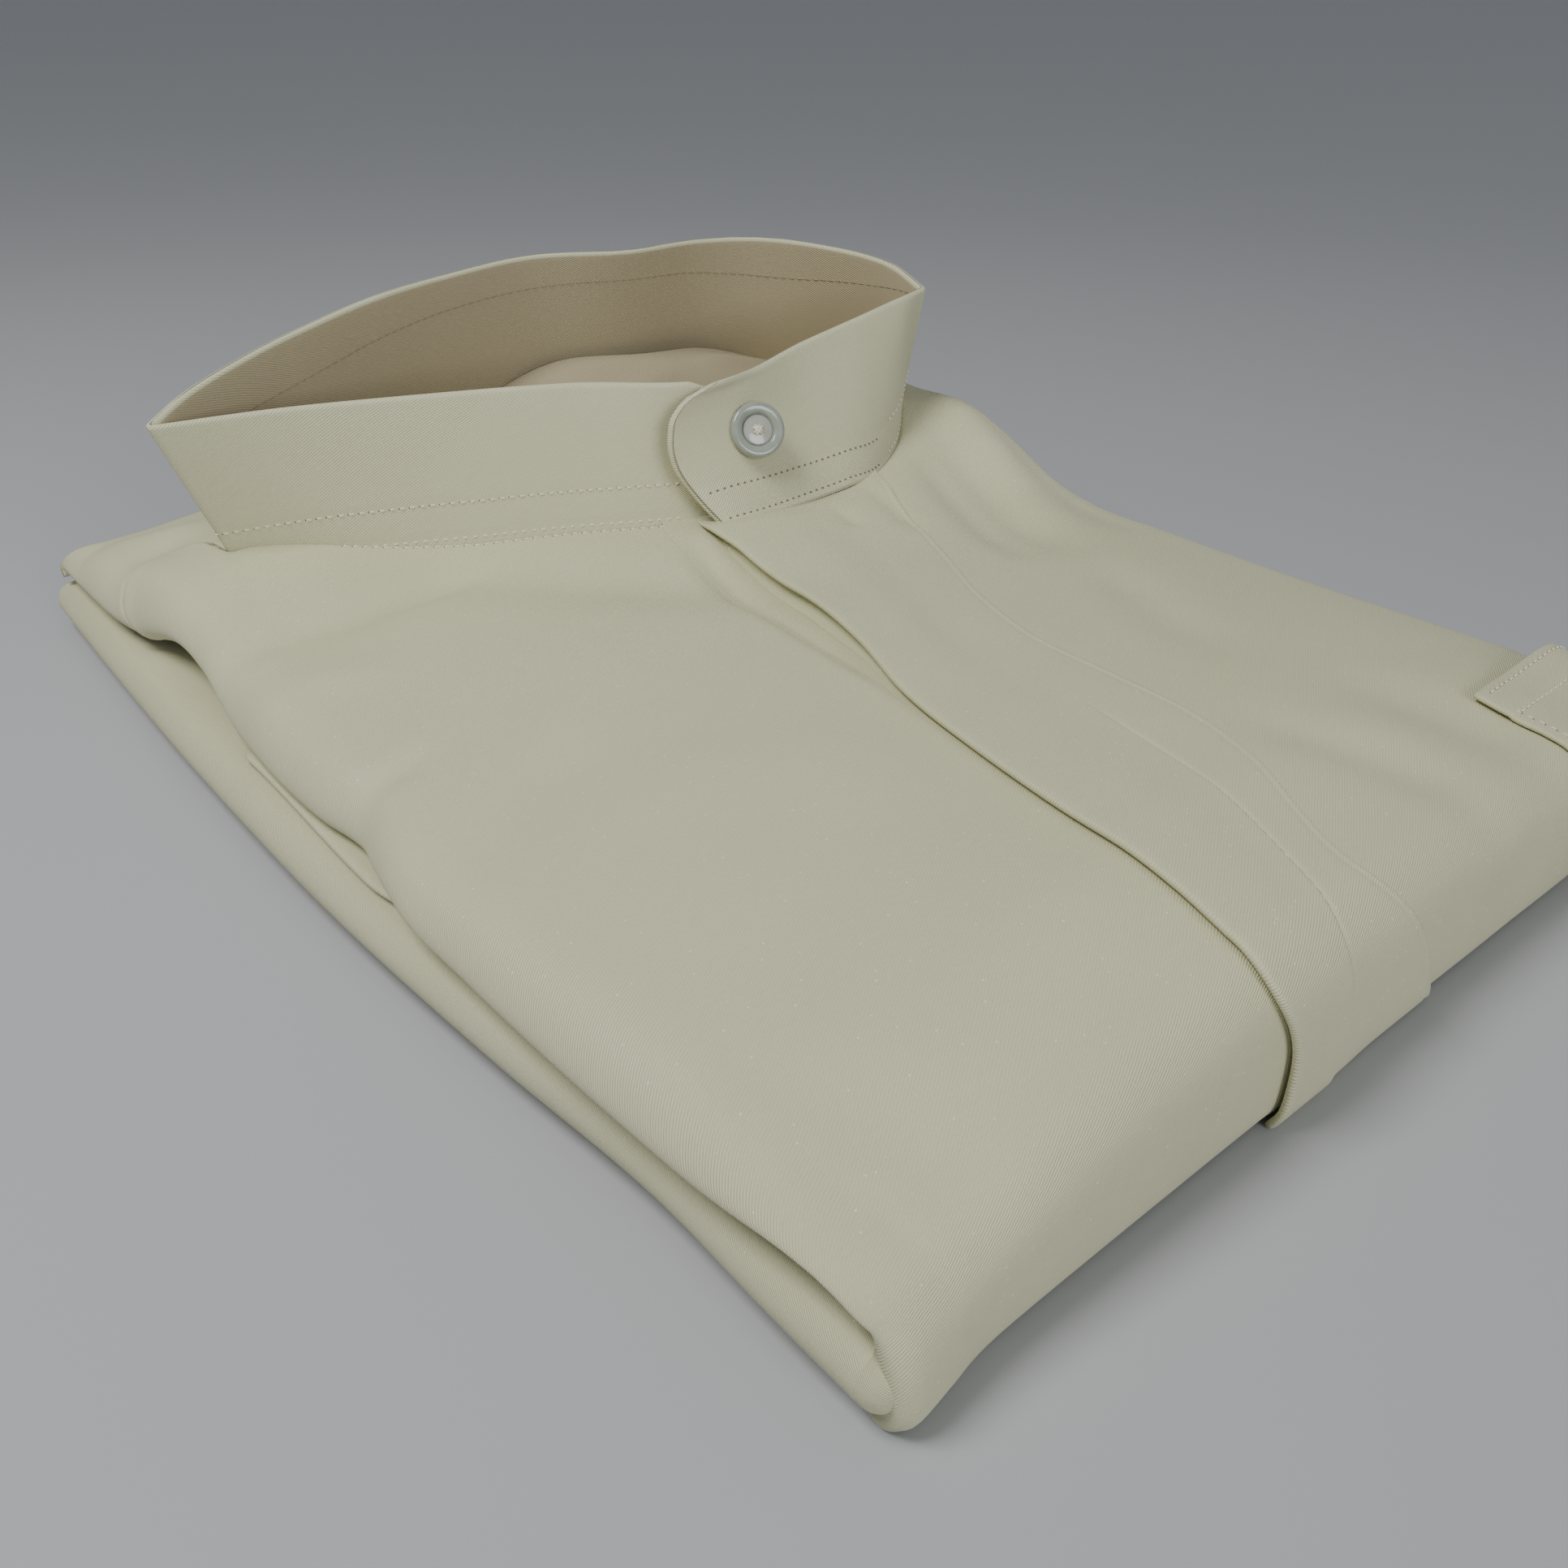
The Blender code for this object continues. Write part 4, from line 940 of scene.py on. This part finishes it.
def build_underside():
    """The cloth that lies on the table, with its corners drawn in."""
    y = np.linspace(LOWER_NEAR + 3, LOWER_FAR - 4, 90)[:, None]
    reach = np.minimum(*edges(LOWER_EDGE, y)) - 3.5
    end = np.clip(np.minimum(y - y[0], y[-1] - y) / UNDER_CORNER, 0, 1)
    reach = reach - UNDER_CORNER * (1 - np.sqrt(1 - (1 - end) ** 2))
    x = reach * np.linspace(-1, 1, 60)[None, :]
    places = np.stack([x, np.broadcast_to(y, x.shape)], -1)
    top = np.concatenate([places, np.ones_like(x)[..., None]], -1)
    piece = shell("underside_cloth", top, top * [1, 1, 0], places, TOP_CLOTH)
    dress(piece, "cloth", "back_folded")


def build_sleeves():
    """The sleeves, turned under: a folded edge of each shows between the layers at the sides."""
    for name, node, side, start, end, edge in (
        ("right_sleeve_cloth", "sleeve_right", -1, 92, 171, 100.4),
        ("left_sleeve_cloth", "sleeve_left", 1, 70, 226, 100.6),
    ):
        share = steps(90)[:, None]
        reach = edge - 4 * fade(share, 0, 0.35) - 2 * ease(share, 0.3, 1)
        x = SLEEVE_INNER + (reach - SLEEVE_INNER) * steps(16)[None, :]
        y = np.broadcast_to(start + (end - start) * share, x.shape)
        if side < 0:
            x, y = x[:, ::-1], y[:, ::-1]
        top = np.stack([side * x, y, np.full_like(x, SLEEVE_LEVEL)], -1)
        under = top - [0, 0, SLEEVE_THICK]
        piece = shell(name, top, under, np.stack([x, y], -1), TOP_CLOTH)
        dress(piece, "cloth", node)


# Collar

# How far the tab's end is drawn back, up its height.
TAB_END = table(
    "share back",
    (0, 0.0335), (0.07, 0.0295), (0.27, 0.0180), (0.51, 0.0062), (0.71, 0.0030), (0.86, 0.0060),
    (0.94, 0.0140), (1, 0.0310),
)


def band_relief(level, length):
    """How far the outer wall stands out: it dips at each row of sewing."""
    puff = 0.16 * np.sin(np.pi * np.clip(level / 2.2, 0, 1)) - 0.14 * bell(level, LOW_ROW, 0.7)
    return puff - 0.12 * bell(level, HIGH_ROW, 0.8) - 0.10 * bell(level, length - 1, 1)


def band_length(t):
    foot = np.zeros_like(t)
    return np.linalg.norm(band_point(t, foot + 1, 0) - band_point(t, foot, 0), axis=-1)


def tab_shift(t, share):
    """How far the columns near the tab's end move back, so that it is rounded."""
    near_end = fade(t, LAP_FRONT, LAP_FRONT + TAB_WINDOW) * (t < 0.5)
    return near_end * curve(TAB_END, "share", "back", share)


def collar_columns():
    ends = LAP_FRONT + TAB_WINDOW * steps(44) ** 1.2
    return np.concatenate([ends[:-1], np.linspace(ends[-1], LAP_UNDER, 420)])


def build_collar():
    """The stand collar: one doubled band that laps at the front as a tab."""
    t = collar_columns()
    length = band_length(t)
    levels = [share * (length - COLLAR_HALF) for share in steps(WALL_ROWS + 1)[:-1]]
    walls = [(level, COLLAR_HALF + band_relief(level, length)) for level in levels]
    for angle in np.linspace(0, np.pi, TOP_ROWS):
        over = np.full_like(t, COLLAR_HALF * np.cos(angle))
        walls.append((length - COLLAR_HALF + COLLAR_HALF * np.sin(angle), over))
    walls += [(level, np.full_like(t, -COLLAR_HALF)) for level in levels[::-1]]
    grid = np.array([band_point(t + tab_shift(t, up / length), up / length, out) for up, out in walls])
    uv = np.array([np.stack([t * NECK_LENGTH, up + 40 * (out < 0)], -1) for up, out in walls])
    rows, count = grid.shape[:2]
    faces = grid_faces(rows, count, 0, True)
    half = rows // 2 + 1
    points = [grid.reshape(-1, 3)]
    maps = [uv.reshape(-1, 2)]
    start = rows * count
    middle = (grid[:half] + grid[::-1][:half]) / 2
    spread = (grid[:half] - grid[::-1][:half]) / 2
    across = np.arange(half)
    for end, inside in ((0, 1), (count - 1, count - 2)):
        away = unit(middle[:, end] - middle[:, inside])
        reach = np.minimum(np.linalg.norm(spread[:, end], axis=1, keepdims=True), COLLAR_HALF)
        points.append(round_edge(middle[:, end], spread[:, end], away * reach, (35, 90, 145)))
        maps += [uv[:half, end]] * 3
        rim = start + np.arange(3 * half).reshape(3, -1)
        start += 3 * half
        loops = [across * count + end, *rim, (rows - 1 - across) * count + end]
        for one, two in zip(loops, loops[1:]):
            quads = np.stack([one[:-1], one[1:], two[1:], two[:-1]], -1)
            faces += (quads if end == 0 else quads[:, ::-1]).tolist()
    last = (rows - 1) * count
    faces += [[j, j + 1, last + j + 1, last + j] for j in range(count - 1)]
    piece = make_mesh("collar_band", np.concatenate(points), faces, COLLAR_CLOTH, np.concatenate(maps))
    # The inner wall's faces get the darker, warmer copy of the twill, which paints the shade inside the
    # collar.
    piece.data.materials.append(COLLAR_INSIDE_SHADE)
    side = np.zeros(len(faces), int)
    side[(WALL_ROWS + TOP_ROWS - 1) * (count - 1) : (rows - 1) * (count - 1)] = 1
    piece.data.polygons.foreach_set("material_index", side)
    dress(piece, "collar_cloth", "collar_outer", "collar_inner")


# Sewing


def stitches(vertices, faces, points, normals, pitch, length, thread=THREAD):
    """Adds a row of stitches along points, each a short thread that dives in at both ends."""
    at = run_length(points)
    sections = steps(6)
    arch = np.sin(np.pi * sections)[:, None]
    for start in np.arange(pitch * 0.3, at[-1] - length, pitch):
        core = between(start + length * sections, at, points)
        up = unit(between(start + length * sections, at, normals))
        side = np.cross(unit(np.gradient(core, axis=0)), up)
        core = core + up * thread * (1.1 * arch - 0.55)
        radius = thread * (0.55 + 0.45 * arch)
        faces += tube_faces(len(sections), THREAD_SIDES, len(vertices))
        for middle, across, rise in zip(core, side * radius, up * radius):
            vertices.extend(middle + circle(THREAD_SIDES, across, rise))


def sew(name, rows, material=THREAD_CREAM):
    """One object for several rows of stitches."""
    vertices, faces = [], []
    for row in rows:
        stitches(vertices, faces, **row)
    return dress(make_mesh(name, vertices, faces, material), "cloth")


def cloth_row(a, b, out, sunk=1, **settings):
    """A row along cloth places, seated on the cloth raised by out."""
    base = lifted(a, b, out, sunk)
    return dict(points=base, normals=lifted(a, b, out + 1, sunk) - base, **settings)


def band_row(t, level, inside=False, **settings):
    """A row along the collar at a height over its seam in millimetres."""
    length = band_length(t)
    up = level / length
    out = COLLAR_HALF + (0 if inside else band_relief(level, length))
    sign = -1 if inside else 1
    base = band_point(t, up, sign * out)
    return dict(points=base, normals=band_point(t, up, sign * (out + 1)) - base, **settings)


def hole_shade_dots(name, rows, size):
    """Painted shade of needle holes: a small flat dark dot at the end of every stitch."""
    vertices, faces = [], []
    for row in rows:
        at = run_length(row["points"])
        where = np.arange(row["pitch"] * 0.3, at[-1] - 1, row["pitch"])
        up = unit(between(where, at, row["normals"]))
        side = unit(np.cross(up, [0, 0, 1]))
        for middle, out, across in zip(between(where, at, row["points"]), up, side):
            faces += tube_faces(2, HOLE_SIDES, len(vertices))
            dot = circle(HOLE_SIDES, across, np.cross(out, across)) * size
            vertices.extend(middle + dot - 0.05 * out)
            vertices.extend(middle + 0.9 * dot + 0.04 * out)
    return dress(make_mesh(name, vertices, faces, HOLE_SHADE), "collar_cloth")


def cloth_seam_row(offset, low, high):
    """Places along the front, just below the collar's seam or the yoke's."""
    a = np.linspace(low, high, 300)
    return a, front_end(a) - offset


def build_sewing():
    """Every row of sewing on the collar, and dark dots that paint the shade of its needle holes."""
    front_t = np.linspace(0.80, 0.985, 400)
    tab_t = np.linspace(LAP_FRONT + 0.024, 0.125, 260)
    round_t = np.linspace(0.135, 0.80, 900)
    rows = [(front_t, HIGH_ROW), (front_t, LOW_ROW), (round_t, LOW_ROW), (round_t, HIGH_ROW)]
    rows = [band_row(t, level, **STITCH) for t, level in rows]
    sew("collar_sewing", rows)
    # The collar's inside seam is drawn as a dark brown line: painted seam shade.
    seam_t = np.linspace(0.11, 0.865, 900)
    inner = band_row(seam_t, INSIDE_ROW, inside=True, **SEAM_STITCH)
    sew("collar_inside_seam_shade", [inner], INSIDE_SEAM_SHADE_THREAD)
    hole_shade_dots("collar_hole_shade_dots", rows, 0.24)
    tab_rows = [band_row(tab_t, 8.2, **TAB_STITCH), band_row(tab_t[20:], 1.9, **TAB_STITCH)]
    hole_shade_dots("tab_hole_shade_dots", tab_rows, 0.36)


def build_panel_sewing():
    """The rows of sewing on the fronts and the pocket, and thin dark thread lines beside the edges that
    paint the seams' shadow.
    """
    rows = [cloth_row(*cloth_seam_row(3.3, -58, 3), 0, **STITCH)]
    mouth_a = np.linspace(POCKET_SIDE + 1.8, POCKET_SIDE + 45, 200)
    share = (mouth_a - POCKET_SIDE) / (side_reach(25, 1) - POCKET_SIDE)
    mouth_b = pocket_mouth(share)
    for inset, extra in ((7.4, 0), (1.4, 0.35)):
        out = SEAM_GAP + POCKET + extra + pocket_gape(mouth_a, mouth_b - inset)
        rows.append(cloth_row(mouth_a, mouth_b - inset, out, **STITCH))
    side_b = np.linspace(-16, POCKET_MOUTH[0] - 1, 160)
    side_a = np.full_like(side_b, POCKET_SIDE + 1.8)
    rows.append(cloth_row(side_a, side_b, SEAM_GAP + POCKET, **STITCH))
    sew("panel_sewing", rows)
    # Thin dark lines beside the placket's edges and the yoke seams: painted seam shadow.
    seam_b = np.linspace(-20, 160, 900)
    turn_b = np.linspace(-20, 48, 400)
    seam_shadow_lines = [
        cloth_row(front_line("sewn", seam_b) + 0.2, seam_b, 0.35, sunk=0, **SEAM_STITCH),
        cloth_row(front_line("turning", turn_b) + 0.45, turn_b, TURNING_SEAT, sunk=0, **SEAM_STITCH),
        cloth_row(*cloth_seam_row(-0.3, -101, -77.5), 0.1, **SEAM_STITCH),
        cloth_row(*cloth_seam_row(-0.3, 86.5, 104), 0.1, **SEAM_STITCH),
    ]
    sew("panel_seam_shadow_lines", seam_shadow_lines, SEAM_SHADOW_THREAD)
    hole_shade_dots("panel_hole_shade_dots", rows, 0.24)


# Button


def lathe(name, profile, segments, place, material):
    """A closed round solid on the button's axis, from rows of radius and level."""
    centre, across, rise, out = place
    ring = circle(segments, across, rise)
    points = [centre + ring * radius + out * level for radius, level in profile]
    return make_mesh(name, np.concatenate(points), tube_faces(len(profile), segments), material)


def build_button():
    """A clear round sew-on button with a wide rim, a recessed middle and crossed thread."""
    t, up = BUTTON_AT
    ahead = np.array([t, t + 0.01])
    centre, ahead = band_point(ahead, np.full(2, up), np.full(2, COLLAR_HALF + 0.05))
    out = unit(np.array(BUTTON_FACE))
    across = unit((ahead - centre) - out * np.dot(ahead - centre, out))
    rise = np.cross(out, across)
    place = (centre, across, rise, out)
    base = SEAM_GAP + SHANK
    top = base + BUTTON_THICK
    edge = BUTTON_RADIUS
    under = [(1.5, 0.25), (2.6, 0.15), (edge - 1.2, 0), (edge - 0.6, 0.08)]
    under += [(edge - 0.18, 0.35), (edge, 0.9)]
    rim = [(0, 0.8), (0.1, 0.4), (0.35, 0.12), (0.7, 0), (1.2, 0.02), (2, 0.22), (2.3, 0.42)]
    rim += [(2.45, 0.85), (2.65, 1.15), (edge - 1.8, 1.2), (edge - 0.6, 1.2)]
    profile = [(radius, base + level) for radius, level in under]
    profile += [(edge - inward, top - down) for inward, down in rim]
    dress(lathe("button_resin_body", profile, 72, place, RESIN), "button", "button")
    eye = [(2.75, 1.3), (2.6, 0.95), (3, 0.78), (edge - 0.5, 0.74)]
    eye = [(edge - inward, top - down) for inward, down in eye]
    dress(lathe("button_eye", eye, 48, place, RESIN_EYE), "button")
    rows = []
    for turn in (0.55, 0.55 + np.pi / 2):
        direction = across * np.cos(turn) + rise * np.sin(turn)
        aside = np.cross(out, direction)
        for k in (-1, 0, 1):
            middle = centre + out * (top - 0.5 + 0.06 * abs(k)) + aside * k * 0.36
            run = middle + direction * np.linspace(-1.9, 1.9, 9)[:, None]
            rows.append(dict(points=run, normals=np.tile(out, (9, 1)), **BUTTON_STITCH))
    sew("button_thread", rows)
    shank = [(1.2, -0.1), (1, 0.2), (1, base + 0.3), (1.2, base + 0.5)]
    dress(lathe("button_shank", shank, 20, place, THREAD_CREAM), "button")


# Stage, light and camera

FLOOR_FLAT = 650
FLOOR_RISE = 3200
FLOOR_DROP = 0.15
FLOOR_SIDES = 96
BACKDROP_TURN = 0.42 * np.pi
LIGHT_AIM = (0, 0, 0.02)


def build_stage():
    """A pale floor that curves up into a backdrop all round."""
    turns = np.linspace(0, BACKDROP_TURN, 25)[1:]
    profile = [(radius, 0) for radius in (200, 450, FLOOR_FLAT)]
    profile += [(FLOOR_FLAT + FLOOR_RISE * np.sin(s), FLOOR_RISE * (1 - np.cos(s))) for s in turns]
    ring = circle(FLOOR_SIDES, np.array([1, 0, 0]), np.array([0, 1, 0]))
    points = [np.zeros((1, 3))] + [ring * radius + [0, 0, level] for radius, level in profile]
    quads = [face[::-1] for face in tube_faces(len(profile), FLOOR_SIDES, 1)[:-2]]
    fan = [[0, 1 + k, 1 + (k + 1) % FLOOR_SIDES] for k in range(FLOOR_SIDES)]
    points = np.concatenate(points) - [0, 0, FLOOR_DROP]
    floor = make_mesh("pale_floor", points, fan + quads, FLOOR, shift=False)


def area_light(name, place, size, power, colour):
    """A square soft light at a place in metres, turned to the package."""
    data = bpy.data.lights.new(name, "AREA")
    data.shape, data.size, data.energy, data.color = "SQUARE", size, power, colour
    light = put(name, data)
    light.location = place
    light.rotation_euler = (Vector(LIGHT_AIM) - Vector(place)).to_track_quat("-Z", "Y").to_euler()


CAMERA_PLACE = (-0.1760, -0.21109, 0.14273)
CAMERA_DOWN = 30.34
CAMERA_TURN = -40.62
CAMERA_LENS = 33.17


def build_camera():
    data = bpy.data.cameras.new("camera")
    data.lens = CAMERA_LENS
    data.sensor_width = 36.0
    data.clip_start = 0.005
    camera = put("camera", data)
    camera.location = CAMERA_PLACE
    camera.rotation_euler = (np.radians(90.0 - CAMERA_DOWN), 0.0, np.radians(CAMERA_TURN))
    bpy.context.scene.camera = camera


def build_light():
    area_light("key", (-0.42, 0.08, 0.74), 0.34, 5.1, (1.0, 0.985, 0.95))
    area_light("fill", (-0.28, -1.70, 0.56), 0.8, 14.5, (0.98, 0.985, 1.0))
    world = bpy.data.worlds.new("soft_room")
    world.use_nodes = True
    background = world.node_tree.nodes["Background"]
    background.inputs["Color"].default_value = (0.93, 0.96, 1.0, 1.0)
    background.inputs["Strength"].default_value = 0.32
    bpy.context.scene.world = world


build_lower_body()
build_underside()
build_sleeves()
build_fronts()
build_yoke()
build_back_neck()
build_placket()
build_under_placket()
build_pocket()
build_collar()
build_button()
build_sewing()
build_panel_sewing()
build_stage()
build_light()
build_camera()
